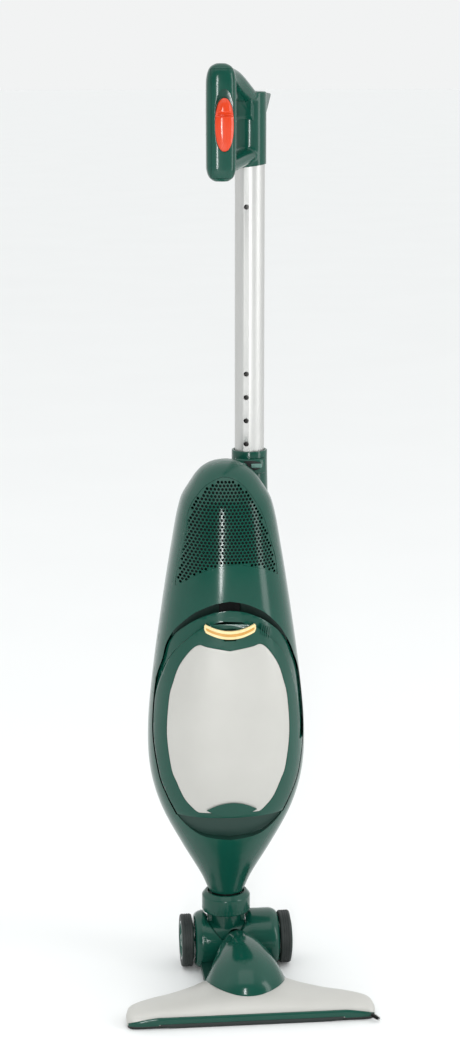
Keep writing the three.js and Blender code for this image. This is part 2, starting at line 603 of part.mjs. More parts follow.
part('suction_duct', uprightPipe(duct.radius, duct.radius - duct.wall, bodyX, axleY, neckBottom - 8, duct.top, 28), 'black');
const card = block([bodyX - 38, bodyX + 38], [101, 144], [duct.top + gap, duct.top + 3]);
part('bag_card', cut(card, upright(duct.radius - 3, bodyX, axleY - 4, 200, 300, 24)), 'paper');
const bagRings = [[246, 0.8], [262, 1], [340, 1.06], [390, 0.98], [428, 0.68]].map(([z, share]) => (
  Array.from({ length: 20 }, (_, i) => {
    const angle = (2 * Math.PI * i) / 20;
    const round = (value) => Math.sign(value) * Math.abs(value) ** 0.6;
    return v3(bodyX + 58 * share * round(Math.cos(angle)), 117 + 25 * share * round(Math.sin(angle)), z);
  })
));
part('dust_bag', loft(bagRings), 'paper');
part('motor_filter', upright(inletCollar.radius - inletCollar.wall - gap, motor.x, motor.y, 455, 463, 24), 'foam');
part('control_board', block([bodyX - 58, bodyX - 12], [chamberBack + 3, chamberBack + 5], [330, 400]), 'board');

// ---------------------------------------------------------------- motor and fan
const onMotor = (radius, z0, z1, sides = 20) => upright(radius, motor.x, motor.y, z0, z1, sides);
const fanTop = fan.bottom + fan.height;
part('inlet_seal', cut(onMotor(inletCollar.radius, inletCollar.top + gap, fan.bottom - gap),
  onMotor(fan.inlet, inletCollar.top, fan.bottom)), 'rubber');
part('fan_housing', cut(
  onMotor(fan.radius, fan.bottom, fanTop, 24),
  onMotor(fan.radius - fan.wall, fan.bottom + fan.wall, fanTop - fan.wall, 24),
  onMotor(fan.inlet, fan.bottom - 1, fan.bottom + 5),
  onMotor(motor.bore, fanTop - 5, fanTop + 1),
), 'black');
const spider = join(
  block([motor.x - motor.radius, motor.x + motor.radius], [motor.y - 5, motor.y + 5], [motor.top + gap, motor.top + 5]),
  block([motor.x - 5, motor.x + 5], [motor.y - motor.radius, motor.y + motor.radius], [motor.top + gap, motor.top + 5]),
  onMotor(9, motor.top + gap, motor.top + 10, 20),
);
part('motor_bracket', cut(common(spider, onMotor(motor.radius, 500, 600)), onMotor(shaftRadius + 0.1, 500, 600)), 'steel');
part('motor_stator', cut(onMotor(motor.radius, motor.bottom, motor.top, 24),
  onMotor(motor.bore, motor.bottom - 1, motor.top + 1, 28)), 'copper');
part('rotor_shaft', onMotor(shaftRadius, fan.bottom + 6, motor.top + 8, 16), 'steel');
part('armature', cut(onMotor(motor.bore - 1, motor.bottom + 5, motor.top - 6),
  onMotor(shaftRadius + gap, 500, 600, 16)), 'copper');
const vane = (angle) => {
  const made = block([7, fan.radius - 6], [-0.8, 0.8], [fan.bottom + 8, fan.bottom + 24]);
  return made.rotate([0, 0, angle]).translate([motor.x, motor.y, 0]);
};
const impeller = join(
  onMotor(fan.radius - 5, fan.bottom + 23, fan.bottom + 26, 24), onMotor(9, fan.bottom + 8, fan.bottom + 30, 20),
  ...Array.from({ length: 7 }, (_, i) => vane((360 * i) / 7)),
);
part('impeller', cut(impeller, onMotor(shaftRadius + gap, 470, 540, 16)), 'black');

// ---------------------------------------------------------------- bag door
const doorPrism = prism(doorShape(doorOutline), 'Y', -20, 112);
const doorPlate = common(cut(skin, egg(doorWall)), doorPrism);
const skirt = common(
  cut(
    prism(doorShape(doorOutline, -doorSkirtInset), 'Y', 20, sealPlaneY - 2.7),
    prism(doorShape(doorOutline, -doorSkirtInset - 3), 'Y', 10, sealPlaneY),
  ),
  egg(1),
);
const doorEar = (side) => {
  const xs = [bodyX + side * 38.5, bodyX + side * 45].sort((a, b) => a - b);
  return common(block(xs, [54, 84.5], [213.4, 223]), egg(1));
};
const insertNotch = (grow) => prism(mirrored(insertOutline, faceX, grow), 'Y', -20, 112);
const latchStem = { x0: faceX - 7, x1: faceX + 7 };
const slide = latch.travel + 0.6;
const stemSlot = block([latchStem.x0 - gap, latchStem.x1 + gap], [30, 58], [440 - slide, 446 + gap]);
const hookSlot = block([faceX - 12 - gap, faceX + 12 + gap], [56, 60.6], [450, 470]);
const fingerRecess = block([faceX - 14, faceX + 14], [30, 52.6], [447, 456]);
const springRib = block([faceX - 6, faceX + 6], [50, 66], [409, 412]);
const doorBlank = join(doorPlate, skirt, doorEar(-1), doorEar(1), common(springRib, egg(1)));
part('bag_door', cut(
  doorBlank, common(cut(egg(-3), egg(insertThickness + gap)), insertNotch(0)),
  stemSlot, hookSlot, fingerRecess, pinBore(gap),
  prism(doorShape(doorOutline, 2.2 - doorSkirtInset), 'Y', sealPlaneY - 2.7, 130),
), 'green');
part('door_insert', common(cut(egg(-0.2), egg(insertThickness)), insertNotch(-gap)), 'silver');
const capOutline = [];
for (let i = 0; i <= 12; i++) {
  const x = -30 + 5 * i;
  capOutline.push([bodyX + x, 223.5 - 8.5 * (1 - (x / 30) ** 2)]);
}
for (let i = 11; i >= 1; i--) {
  const x = -30 + 5 * i;
  capOutline.push([bodyX + x, 223.5 + 10 * (1 - (x / 30) ** 2)]);
}
const capPrism = prism(capOutline, 'Y', -20, 90);
part('hinge_cap', common(cut(egg(-2.2), egg(-0.5)), capPrism), 'green');
part('door_seal', cut(
  prism(doorShape(doorOutline, -doorSkirtInset + 1.5), 'Y', sealPlaneY - 2.4, sealPlaneY),
  prism(doorShape(doorOutline, -doorSkirtInset - 4.5), 'Y', 0, 100),
), 'rubber');

// Latch: a smile-shaped bar on the door's face with a stem, a hook plate and a return spring.
const smile = [];
const smileZ = (x) => latch.middleZ + latch.rise * (x / latch.halfWidth) ** 2;
for (let i = 0; i <= 12; i++) {
  const x = -latch.halfWidth + 5 * i;
  smile.push([faceX + x, smileZ(x) - latch.height / 2]);
}
for (let i = 12; i >= 0; i--) {
  const x = -latch.halfWidth + 5 * i;
  smile.push([faceX + x, smileZ(x) + latch.height / 2]);
}
const latchBar = common(cut(egg(-latch.proud), egg(-0.5)), prism(smile, 'Y', -20, 90));
const stem = block([latchStem.x0, latchStem.x1], [47.5, 60.2], [440, 446]);
const hook = block([faceX - 12, faceX + 12], [57.6, 60.2], [432, coverEdge.at(-1)[1] - 1.4]);
const springSeat = block([faceX - 5, faceX + 5], [58, 66], [432, 436]);
part('door_latch', join(latchBar, stem, hook, springSeat), 'cream');
part('latch_spring', upright(2, faceX, 63.2, 412 + gap, 432 - gap, 10), 'steel');

// ---------------------------------------------------------------- tube, catch and grip
const tubeHoles = [0, 1, 2, 3, 4, catchHoles.last].map((step) => (
  pinHole(catchHoles.first + step * catchHoles.pitch, tube.y)
));
const tubeBlank = uprightPipe(tube.radius, tube.radius - tube.wall, tube.x, tube.y, tube.bottom, tube.top, 24);
part('handle_tube', cut(tubeBlank, ...tubeHoles), 'aluminium');
const plugBody = join(
  upright(tube.radius + 0.7, tube.x, tube.y, tube.bottom - 5, tube.bottom - gap, 24),
  upright(tube.radius - tube.wall - gap, tube.x, tube.y, tube.bottom - 5, tube.bottom + 14, 24),
);
part('tube_end_plug', cut(plugBody, upright(10, tube.x, tube.y, 500, 700, 20)), 'black');

// The catch: a knob that slides sideways in its oval recess and drives the locking pin into the tube.
// It stands open here, with the pin drawn back.
const knobEnd = catchSlot.x + catchSlot.halfWidth - 1;
const catchPlate = block(
  [knobEnd - catchKnob.length, knobEnd], [catchSlot.face - catchKnob.proud, catchSlot.floor - gap],
  [catchSlot.z - catchKnob.height / 2, catchSlot.z + catchKnob.height / 2],
);
part('catch_knob', common(catchPlate, prism(grown(ovalOutline, -gap), 'Y', 120, 160)), 'green');
const pinTip = tube.y - tube.radius - gap;
part('catch_pin', rod(
  catchHoles.radius - gap,
  v3(catchHoles.x, catchSlot.floor + gap, catchHoles.first), v3(catchHoles.x, pinTip, catchHoles.first), 12,
), 'steel');

// Grip body: bar, strap, lower strap, sleeve and rear spur as one moulding.
function barSkin(inset) {
  const rows = [
    [bar.bottom, 0.45], [bar.bottom + 4, 0.78], [bar.bottom + 12, 0.97], [bar.bottom + 20, 1],
    [bar.top - 24, 1], [bar.top - 12, 0.94], [bar.top - 5, 0.76], [bar.top, 0.4],
  ];
  return loft(rows.map(([z, share]) => Array.from({ length: 20 }, (_, i) => {
    const angle = (2 * Math.PI * i) / 20;
    const round = (value) => Math.sign(value) * Math.abs(value) ** 0.72;
    return v3(
      bar.x + (bar.halfWidth * share - inset) * round(Math.cos(angle)),
      bar.y + (bar.halfDepth * share - inset) * round(Math.sin(angle)),
      z,
    );
  })));
}
function strap(points, halfWidth, halfDepth) {
  const path = new THREE.CatmullRomCurve3(points);
  const shape = new THREE.Shape();
  shape.absellipse(0, 0, halfDepth, halfWidth, 0, 2 * Math.PI);
  return solid(new THREE.ExtrudeGeometry(shape, { steps: 6, curveSegments: 4, bevelEnabled: false, extrudePath: path }));
}
const topStrap = strap([v3(bar.x, bar.y, 1078), v3(-8, 118, 1073), v3(8, 150, 1058), v3(21, 176, 1044)], 15, 10);
const lowStrap = strap([v3(bar.x, bar.y, 975), v3(-4, 125, 979), v3(12, 155, 984), v3(21, 170, 988)], 13, 9);
const spurOutline = [
  [bar.y + 60, 1058], [tube.y + 42, 1054], [tube.y + 22, 1026], [tube.y, 1010], [bar.y + 60, 1030],
];
const spurBlank = prism(spurOutline, 'X', -11, 11).translate([0, -tube.y, 0]).rotate([0, 0, -27]);
const spur = spurBlank.translate([tube.x, tube.y, 0]);
const sleeveBlank = upright(sleeve.radius, tube.x, tube.y, sleeve.bottom, sleeve.top, 24);
const tubeSocket = upright(tube.radius + gap, tube.x, tube.y, sleeve.bottom - 1, tube.top + gap, 28);
const gripBlank = join(barSkin(0), topStrap, lowStrap, spur, sleeveBlank);
const coverFrontY = bar.y - 2;
const coverZone = block(
  [bar.x - bar.halfWidth + 4.5, bar.x + bar.halfWidth - 4], [40, coverFrontY], [bar.bottom + 4, bar.top - 6],
);
const switchSpace = block([bar.x - 8, bar.x + 8], [coverFrontY - 1, bar.y + 9], [1000, 1050]);
const inletSpace = rod(4.5 + gap, v3(tube.x + 5, tube.y + 10, 1000), v3(tube.x + 16, tube.y + 32, 1000), 20);
part('grip_body', cut(gripBlank, tubeSocket, coverZone, switchSpace, inletSpace), 'green');

const track = { x0: slider.x - slider.halfWidth - gap, x1: slider.x + slider.halfWidth + gap };
const trackSpace = block([track.x0, track.x1], [40, bar.y - 8], [slider.bottom - 1, slider.top + slider.travel + 1]);
const stalkSpace = block([slider.x - 3.5, slider.x + 3.5], [70, bar.y], [1012, 1036 + slider.travel]);
const coverBlock = block(
  [bar.x - bar.halfWidth + 4.5 + gap, bar.x + bar.halfWidth - 4 - gap], [40, coverFrontY - gap],
  [bar.bottom + 4 + gap, bar.top - 6 - gap],
);
part('grip_cover', cut(common(barSkin(0), coverBlock), trackSpace, stalkSpace), 'green');

const knob = new THREE.Shape();
const knobMiddle = (slider.bottom + slider.top) / 2;
knob.absellipse(slider.x, knobMiddle, slider.halfWidth, (slider.top - slider.bottom) / 2, 0, 2 * Math.PI);
const knobOutline = knob.getPoints(14).slice(0, -1).map((p) => [p.x, p.y]);
const knobFront = bar.y - bar.halfDepth - slider.proud;
const sliderKnob = prism(knobOutline, 'Y', knobFront, bar.y - 8 - gap);
const sliderStalk = block([slider.x - 3, slider.x + 3], [78, bar.y - gap], [1014, 1033]);
part('power_slider', join(sliderKnob, sliderStalk), 'orange');
part('switch_module', cut(
  block([bar.x - 7.6, bar.x + 7.6], [bar.y - 1, bar.y + 8.6], [1001, 1049]),
  block([slider.x - 3.6, slider.x + 3.6], [bar.y - 3, bar.y + 2], [1012, 1036 + slider.travel]),
), 'black');
part('cord_inlet', cut(
  rod(4.5, v3(tube.x + 9.4, tube.y + 18.8, 1000), v3(tube.x + 16, tube.y + 32, 1000), 20),
  rod(2.6, v3(tube.x + 12, tube.y + 24, 1000), v3(tube.x + 20, tube.y + 40, 1000), 14),
), 'rubber');

// ---------------------------------------------------------------- cord hook
const hookAt = { x: bodyX - 20, z: 330 };
const hookBack = axleY + 67;
part('cord_hook', join(
  rod(9, v3(hookAt.x, hookBack + gap + 0.5, hookAt.z), v3(hookAt.x, hookBack + 18, hookAt.z), 20),
  block([hookAt.x - 8, hookAt.x + 8], [hookBack + 14, hookBack + 19], [hookAt.z - 34, hookAt.z]),
), 'darkGreen');

export default vacuum;
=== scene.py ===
import math
import random

import bmesh
import bpy
import numpy as np
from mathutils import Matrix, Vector


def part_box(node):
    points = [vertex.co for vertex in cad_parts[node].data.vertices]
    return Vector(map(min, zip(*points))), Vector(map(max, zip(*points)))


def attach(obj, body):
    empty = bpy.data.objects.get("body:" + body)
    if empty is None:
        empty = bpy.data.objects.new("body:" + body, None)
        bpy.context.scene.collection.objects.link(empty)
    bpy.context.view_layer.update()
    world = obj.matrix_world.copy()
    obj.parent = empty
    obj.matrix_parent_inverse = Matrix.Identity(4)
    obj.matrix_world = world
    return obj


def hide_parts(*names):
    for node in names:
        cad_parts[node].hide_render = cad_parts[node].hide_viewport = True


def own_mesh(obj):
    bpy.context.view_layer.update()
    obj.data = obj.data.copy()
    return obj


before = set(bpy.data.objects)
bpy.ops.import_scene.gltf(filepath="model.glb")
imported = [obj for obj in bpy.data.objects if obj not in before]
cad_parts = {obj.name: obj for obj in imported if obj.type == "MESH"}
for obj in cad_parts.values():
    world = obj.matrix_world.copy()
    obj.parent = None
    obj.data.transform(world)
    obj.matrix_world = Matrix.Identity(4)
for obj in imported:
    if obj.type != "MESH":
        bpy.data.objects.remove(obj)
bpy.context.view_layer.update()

# ---------------------------------------------------------------- nozzle cover
# The real cover is a wing of ABS, moulded in one piece and sprayed with a satin silver paint.
# It is thin, hollow underneath and clipped down over the sole plate.
MM = 0.001


def span(node):
    """A CAD node's lowest and highest corners, in mm."""
    low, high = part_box(node)
    return np.array(low) / MM, np.array(high) / MM


def mesh_piece(name, points, faces):
    """A mesh object from points in mm, with its faces turned outwards."""
    mesh = bpy.data.meshes.new(name)
    mesh.from_pydata((np.asarray(points, float) * MM).tolist(), [], faces)
    work = bmesh.new()
    work.from_mesh(mesh)
    bmesh.ops.remove_doubles(work, verts=work.verts, dist=0.002 * MM)
    bmesh.ops.recalc_face_normals(work, faces=work.faces)
    work.to_mesh(mesh)
    work.free()
    made = bpy.data.objects.new(name, mesh)
    bpy.context.scene.collection.objects.link(made)
    return made


def loft(name, rings, closed=False):
    """A skin over rings of equal length: its two ends are filled, or it closes on itself."""
    rings = [np.asarray(ring, float) for ring in rings]
    count = len(rings[0])
    points = np.concatenate(rings)
    faces = []
    rows = len(rings) if closed else len(rings) - 1
    for row in range(rows):
        here, there = row * count, (row + 1) % len(rings) * count
        for j in range(count):
            k = (j + 1) % count
            faces.append((here + j, here + k, there + k, there + j))
    if not closed:
        faces.append(tuple(range(count))[::-1])
        faces.append(tuple(range(len(points) - count, len(points))))
    return mesh_piece(name, points, faces)


def settle(made):
    """Applies a piece's modifiers."""
    view = bpy.context.evaluated_depsgraph_get()
    mesh = bpy.data.meshes.new_from_object(made.evaluated_get(view))
    made.modifiers.clear()
    made.data = mesh
    return made


def carve(made, *tools, operation="DIFFERENCE"):
    """Cuts tools out of a piece, or joins or intersects it with them, and uses them up."""
    for tool in tools:
        modifier = made.modifiers.new("carve", "BOOLEAN")
        modifier.operation = operation
        modifier.solver = "MANIFOLD"
        modifier.object = tool
    settle(made)
    for tool in tools:
        bpy.data.objects.remove(tool)
    return made


def soften(made, radius, sharp=35, segments=2):
    """Rounds a piece's sharp edges, as a mould's radius does."""
    modifier = made.modifiers.new("soften", "BEVEL")
    modifier.width = radius * MM
    modifier.segments = segments
    modifier.limit_method = "ANGLE"
    modifier.angle_limit = math.radians(sharp)
    modifier.use_clamp_overlap = True
    return settle(made)


def fit(made, material, body, slot, *nodes, sharp=32):
    """Gives a piece its material, its shading and its place on a body of the frame."""
    made.data.materials.clear()
    made.data.materials.append(material)
    made.data.shade_smooth()
    made.data.set_sharp_from_angle(angle=math.radians(sharp))
    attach(made, body)
    if nodes:
        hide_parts(*nodes)
    return made


def linear(code):
    """An sRGB hex colour as linear RGBA."""
    shares = [int(code[i:i + 2], 16) / 255 for i in (1, 3, 5)]
    return (*[s / 12.92 if s <= 0.04045 else ((s + 0.055) / 1.055) ** 2.4 for s in shares], 1)


def add(material, kind, inputs=None, links=None, **settings):
    """Adds a shader node with its settings, its input values and its links."""
    node = material.node_tree.nodes.new("ShaderNode" + kind)
    for name, value in settings.items():
        setattr(node, name, value)
    for name, value in (inputs or {}).items():
        node.inputs[name].default_value = value
    for name, socket in (links or {}).items():
        material.node_tree.links.new(socket, node.inputs[name])
    return node


def surface(name, **inputs):
    """A new material, its shader and its coordinates in metres."""
    material = bpy.data.materials.new(name)
    material.use_nodes = True
    shader = material.node_tree.nodes["Principled BSDF"]
    for key, value in inputs.items():
        shader.inputs[key.replace("_", " ")].default_value = value
    place = add(material, "TexCoord").outputs["Object"]
    return material, shader, place


def moulded(name, colour, shade, roughness, grain, relief, **inputs):
    """A moulded plastic: a mottled colour, and a grain of a size and relief in mm from the mould's skin."""
    material, shader, place = surface(name, **inputs)
    link = material.node_tree.links.new
    cloud = add(material, "TexNoise", {"Scale": 1 / (45 * MM), "Detail": 3.0}, {"Vector": place})
    tint = add(
        material, "MixRGB", {"Color1": linear(colour), "Color2": linear(shade)},
        {"Fac": cloud.outputs["Fac"]},
    )
    link(tint.outputs["Color"], shader.inputs["Base Color"])
    handling = add(material, "TexNoise", {"Scale": 1 / (14 * MM), "Detail": 5.0}, {"Vector": place})
    polish = add(
        material, "MapRange", {"To Min": roughness * 0.8, "To Max": roughness * 1.25},
        {"Value": handling.outputs["Fac"]},
    )
    link(polish.outputs["Result"], shader.inputs["Roughness"])
    skin = add(material, "TexNoise", {"Scale": 1 / (grain * MM), "Detail": 2.0}, {"Vector": place})
    bump = add(
        material, "Bump", {"Strength": 1.0, "Distance": relief * MM}, {"Height": skin.outputs["Fac"]}
    )
    link(bump.outputs["Normal"], shader.inputs["Normal"])
    return material


# Satin silver paint on ABS: pale grey, with the faint sparkle of fine flake under a clear layer.
silver_paint = moulded(
    "silver_painted_abs", "#C4C3BE", "#BBBAB5", 0.42, 1.1, 0.004, Metallic=0.15, Coat_Weight=0.15,
    Coat_Roughness=0.3,
)

nozzle_stations = np.array([
    [0, 46, 30, -53.5], [40, 42.5, 29, -53.5], [64, 27, 25.5, -53.5], [90, 12, 23, -53.5],
    [115, 1, 21.5, -53.5], [134, -10, 19.5, -53.5], [142, -18, 16.5, -51.5], [145.2, -30, 12, -46.5],
])  # half width, rear edge, top and front edge


def smooth(table, place, column):
    """A smooth value from rows that start with the place along them."""
    place = np.asarray(place, float)
    places, values = table[:, 0], table[:, column]
    slopes = np.gradient(values, places)
    slopes[1:-1] = (values[2:] - values[:-2]) / (places[2:] - places[:-2])
    i = np.clip(np.searchsorted(places, place) - 1, 0, len(places) - 2)
    gap = places[i + 1] - places[i]
    t = np.clip((place - places[i]) / gap, 0, 1)
    start = (2 * t**3 - 3 * t**2 + 1) * values[i] + (t**3 - 2 * t**2 + t) * gap * slopes[i]
    return start + (3 * t**2 - 2 * t**3) * values[i + 1] + (t**3 - t**2) * gap * slopes[i + 1]


def wing(name, inset):
    """The cover's solid: each station across the nozzle is half an oval, flat below."""
    half = nozzle_stations[-1, 0]
    across = half * np.sin(np.linspace(-math.pi / 2, math.pi / 2, 121))
    floor = 2.6 if inset else 3.9
    turn = np.linspace(0, math.pi, 37)
    rings = []
    for x in across:
        rear, top, front = (float(smooth(nozzle_stations, abs(x), column)) for column in (1, 2, 3))
        front, rear, top = front + inset, rear - inset, top - inset
        y = (front + rear) / 2 - (rear - front) / 2 * np.cos(turn)
        z = floor + (top - floor) * np.maximum(np.sin(turn), 0) ** 0.75
        rings.append(np.column_stack([np.full_like(y, x * (1 - inset / 146)), y, z]))
    return loft(name, rings)


def rod(name, start, end, radius, end_radius=None, sides=48, edge=0.0):
    """A round bar between two points, which may taper, with its rims rounded by an edge radius."""
    start, end = np.array(start, float), np.array(end, float)
    end_radius = radius if end_radius is None else end_radius
    length = np.linalg.norm(end - start)
    along = (end - start) / length
    side = np.cross(along, [0.3, 1, 0.2] if abs(along[1]) < 0.9 else [1, 0, 0.1])
    side /= np.linalg.norm(side)
    up = np.cross(along, side)
    turn = np.linspace(0, 2 * math.pi, sides, endpoint=False)
    circle = np.outer(np.cos(turn), side) + np.outer(np.sin(turn), up)
    stops = [(0.0, radius), (length, end_radius)]
    if edge:
        quarter = np.linspace(0, math.pi / 2, 4)
        low = [(edge * (1 - math.sin(q)), radius - edge * (1 - math.cos(q))) for q in quarter[::-1]]
        high = [(length - edge * (1 - math.sin(q)), end_radius - edge * (1 - math.cos(q))) for q in quarter]
        stops = low + high
    return loft(name, [start + along * place + circle * r for place, r in stops])


def block(name, low, high):
    """A box between two corners."""
    points = [[x, y, z] for x in (low[0], high[0]) for y in (low[1], high[1]) for z in (low[2], high[2])]
    faces = [(0, 1, 3, 2), (4, 6, 7, 5), (0, 4, 5, 1), (2, 3, 7, 6), (0, 2, 6, 4), (1, 5, 7, 3)]
    return mesh_piece(name, points, faces)


hood_foot = np.array([0, 14, 24])
hood_foot_radius = 47.5
cover = wing("nozzle_cover_shell", 0)
carve(
    cover, wing("tool", 2.5),
    rod("tool", hood_foot - [0, 0, 24], hood_foot + [0, 0, 36], hood_foot_radius - 6, sides=96),
)
fit(cover, silver_paint, "nozzle", "silver_plastic", "nozzle_cover", sharp=40)

# ---------------------------------------------------------------- sole plate, bumper and lip
# The sole is a powder-coated steel plate with the suction slot. Its weight keeps the parked cleaner
# upright. A green bumper wraps the front edge above it, and a rubber lip wipes the floor.
green_abs = moulded(
    "gloss_green_abs", "#0A4236", "#104B3E", 0.16, 0.8, 0.0012, IOR=1.45, Specular_IOR_Level=0.45,
)
black_abs = moulded("black_abs", "#141616", "#1B1D1D", 0.5, 0.35, 0.01)
soft_rubber = moulded("moulded_rubber", "#1D2423", "#262E2C", 0.62, 0.5, 0.01)
coated_steel = moulded("black_powder_coated_steel", "#151717", "#1D1F1F", 0.46, 0.6, 0.015)


def prism(name, outline, axis, low, high):
    """An outline swept along one axis of the frame, from low to high."""
    outline = np.asarray(outline, float)
    spots = {"X": (1, 2, 0), "Y": (0, 2, 1), "Z": (0, 1, 2)}[axis]
    rings = []
    for level in (low, high):
        ring = np.empty((len(outline), 3))
        ring[:, spots[0]], ring[:, spots[1]], ring[:, spots[2]] = outline[:, 0], outline[:, 1], level
        rings.append(ring)
    return loft(name, rings)


def nozzle_edge(x):
    """The front edge of the nozzle at a place across it."""
    return smooth(nozzle_stations, np.abs(x), 3)


across = nozzle_stations[-1, 0] * np.sin(np.linspace(-math.pi / 2, math.pi / 2, 97))
front_edge = np.column_stack([across, nozzle_edge(across)])
rear_edge = np.column_stack([across, smooth(nozzle_stations, np.abs(across), 1)])[::-1]
sole_outline = np.concatenate([front_edge, rear_edge]) * [0.993, 0.985]
sole_thickness, slot_half = 3.6, 118
sole = prism("sole_plate", sole_outline, "Z", 0.02, sole_thickness)
carve(
    sole, block("tool", (-slot_half, -40, -1), (slot_half, -24, 5)),
    block("tool", (-slot_half, -18, 1.2), (slot_half, -12, 5)),
    block("tool", (-112, -10, -1), (-30, -4.5, 1.4)), block("tool", (30, -10, -1), (112, -4.5, 1.4)),
)
fit(soften(sole, 0.4), coated_steel, "nozzle", "steel", "nozzle_base")

bumper_top = span("nozzle_bumper")[1][2]
bumper_half, bumper_reach, bumper_bend = 143.8, 2.4, 6.4  # the bend is the height where its ends taper to
lip_half = span("front_lip")[1][0]  # beyond the lip's ends the bumper reaches down to the sole
rings = []
for share in np.linspace(-1, 1, 161):
    x = bumper_half * math.sin(share * math.pi / 2)
    y = float(nozzle_edge(x))
    ahead = float(nozzle_edge(x + 0.4)) - float(nozzle_edge(x - 0.4))
    out = np.array([ahead * (1 if abs(x) < 143 else 0), -0.8])
    out /= np.linalg.norm(out)
    fullness = min(1.0, (144.2 - abs(x)) / 34) ** 0.55
    crest = bumper_bend + (bumper_top - bumper_bend) * fullness
    bulge = bumper_reach * (0.35 + 0.65 * fullness)
    foot = 5.8 - 1.6 * min(1.0, max(0.0, (abs(x) - lip_half - 0.3) / 2))
    profile = [
        (0.3, foot), (bulge * 0.7, foot), (bulge * 0.95, foot + 0.3), (bulge, 7.2),
        (bulge * 0.98, (crest + 7) / 2),
        (bulge * 0.86, max(crest - 1.6, 6.8)), (bulge * 0.6, max(crest - 0.5, 6.7)), (0.3, crest),
    ]
    rings.append([[x + out[0] * d, y + out[1] * d, z] for d, z in profile])
bumper = loft("front_bumper", rings)
fit(bumper, green_abs, "nozzle", "green_abs", "nozzle_bumper", sharp=50)

lip_low, lip_high = span("front_lip")
lip_rings = []
for x in np.linspace(lip_low[0], lip_high[0], 81):
    rise = 2.4 * max(0.0, (abs(x) - 87) / 20) ** 2
    back, front = lip_high[1], lip_low[1]
    lip_rings.append([
        (x, back, 3.5), (x, back - 1.0, 3.5), (x, back - 1.0, 5.7), (x, front + 0.2, 5.7), (x, front, 5.2),
        (x, front + 0.5, 1.6 + rise), (x, front + 1.1, 0.25 + rise), (x, back - 0.4, 0.25 + rise),
        (x, back, 0.8 + rise),
    ])
fit(loft("wiper_lip", lip_rings), soft_rubber, "nozzle", "rubber", "front_lip", sharp=45)

# ---------------------------------------------------------------- bristles, tuft and thread lifters
# Nylon bristles are set in a strip behind the slot, and a worn tuft sticks out at the right-hand end.
# Two strips of red directional pile lift threads and hair.
nylon, nylon_shader, _ = surface("hook_shade_black", Roughness=0.45)
nylon_shader.inputs["Base Color"].default_value = linear("#20211F")


def bristles(name, roots, tips, radius, bend):
    """Many tapering hairs from roots to tips, each a thin three-sided needle with a bend."""
    points, faces = [], []
    for root, tip in zip(roots, tips):
        root, tip = np.array(root), np.array(tip)
        middle = (root + tip) / 2 + bend
        start = len(points)
        for centre, r in ((root, radius), (middle, radius * 0.8), (tip, radius * 0.3)):
            for j in range(3):
                turn = 2 * math.pi * j / 3
                points.append(centre + [r * math.cos(turn), r * math.sin(turn), 0])
        for row in (0, 3):
            for j in range(3):
                k = (j + 1) % 3
                faces.append((start + row + j, start + row + k, start + row + 3 + k, start + row + 3 + j))
        faces.append((start + 2, start + 1, start))
        faces.append((start + 6, start + 7, start + 8))
    return mesh_piece(name, points, faces)


random.seed(4)
low, high = span("rear_bristles")
roots, tips = [], []
for x in np.arange(low[0] + 1.5, high[0] - 1, 1.5):
    for y in np.arange(low[1] + 1, high[1] - 0.5, 1.2):
        roots.append((x + random.uniform(-0.3, 0.3), y, high[2]))
        tips.append((x + random.uniform(-0.6, 0.6), y + random.uniform(-0.4, 0.4), low[2] + 0.1))
rear = bristles("bristle_strip", roots, tips, 0.28, np.array([0, 0.2, 0]))
fit(rear, nylon, "nozzle", "black_plastic", "rear_bristles")

low, high = span("corner_tuft")
root = np.array([low[0] + 2.5, high[1] - 2.5, high[2] - 2.5])
tip = np.array([high[0] - 2.5, low[1] + 2.5, low[2] + 2])
roots, tips = [], []
for _ in range(150):
    spread = [random.gauss(0, 0.8) for _ in range(3)]
    roots.append(root + spread)
    tips.append(tip + np.array(spread) * 1.25 - (tip - root) * random.uniform(0, 0.3))
tuft = bristles("end_tuft", roots, tips, 0.3, np.array([0.4, 0, -0.5]))
fit(tuft, nylon, "nozzle", "rubber", "corner_tuft")

pile, pile_shader, place = surface("red_lint_pile", Roughness=0.95, Sheen_Weight=0.6)
nap = add(pile, "TexNoise", {"Scale": 1 / (0.5 * MM), "Detail": 2.0}, {"Vector": place})
nap_tint = add(
    pile, "MixRGB", {"Color1": linear("#6E1B18"), "Color2": linear("#A63A32")}, {"Fac": nap.outputs["Fac"]}
)
pile.node_tree.links.new(nap_tint.outputs["Color"], pile_shader.inputs["Base Color"])
nap_bump = add(pile, "Bump", {"Distance": 0.3 * MM}, {"Height": nap.outputs["Fac"]})
pile.node_tree.links.new(nap_bump.outputs["Normal"], pile_shader.inputs["Normal"])


def finish_node(name, material):
    """Gives a CAD node that stays in view its material."""
    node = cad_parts[name]
    node.data.materials.clear()
    node.data.materials.append(material)
    return node


for side in ("left", "right"):
    finish_node(f"thread_lifter_{side}", pile)

# ---------------------------------------------------------------- hood
# The hood is a bell of glossy green ABS that carries the air from the nozzle up to the knuckle.
# It is moulded in one piece and turns on the nozzle's cover.
hood_stations = np.array([
    [0, 14, 24, 47.5, 0], [1, 19, 31, 44.5, 12], [2, 34, 37, 39, 35], [3, 60, 38, 31, 60],
    [4, 97, 35, 20, 90],
])  # step, centre y, centre z, radius and tilt


def hood_skin(name, inset):
    rings = []
    turn = np.linspace(0, 2 * math.pi, 96, endpoint=False)
    for step in np.linspace(0, 4, 49):
        y, z, radius, tilt = (float(smooth(hood_stations, step, column)) for column in (1, 2, 3, 4))
        flare = 1.3 * max(0.0, 1 - step * 3) ** 2
        lean = math.radians(tilt)
        r = radius - inset + flare
        deep = r * np.sin(turn)
        rings.append(np.column_stack([
            r * np.cos(turn), y + deep * math.cos(lean), z - deep * math.sin(lean),
        ]))
    return loft(name, rings)


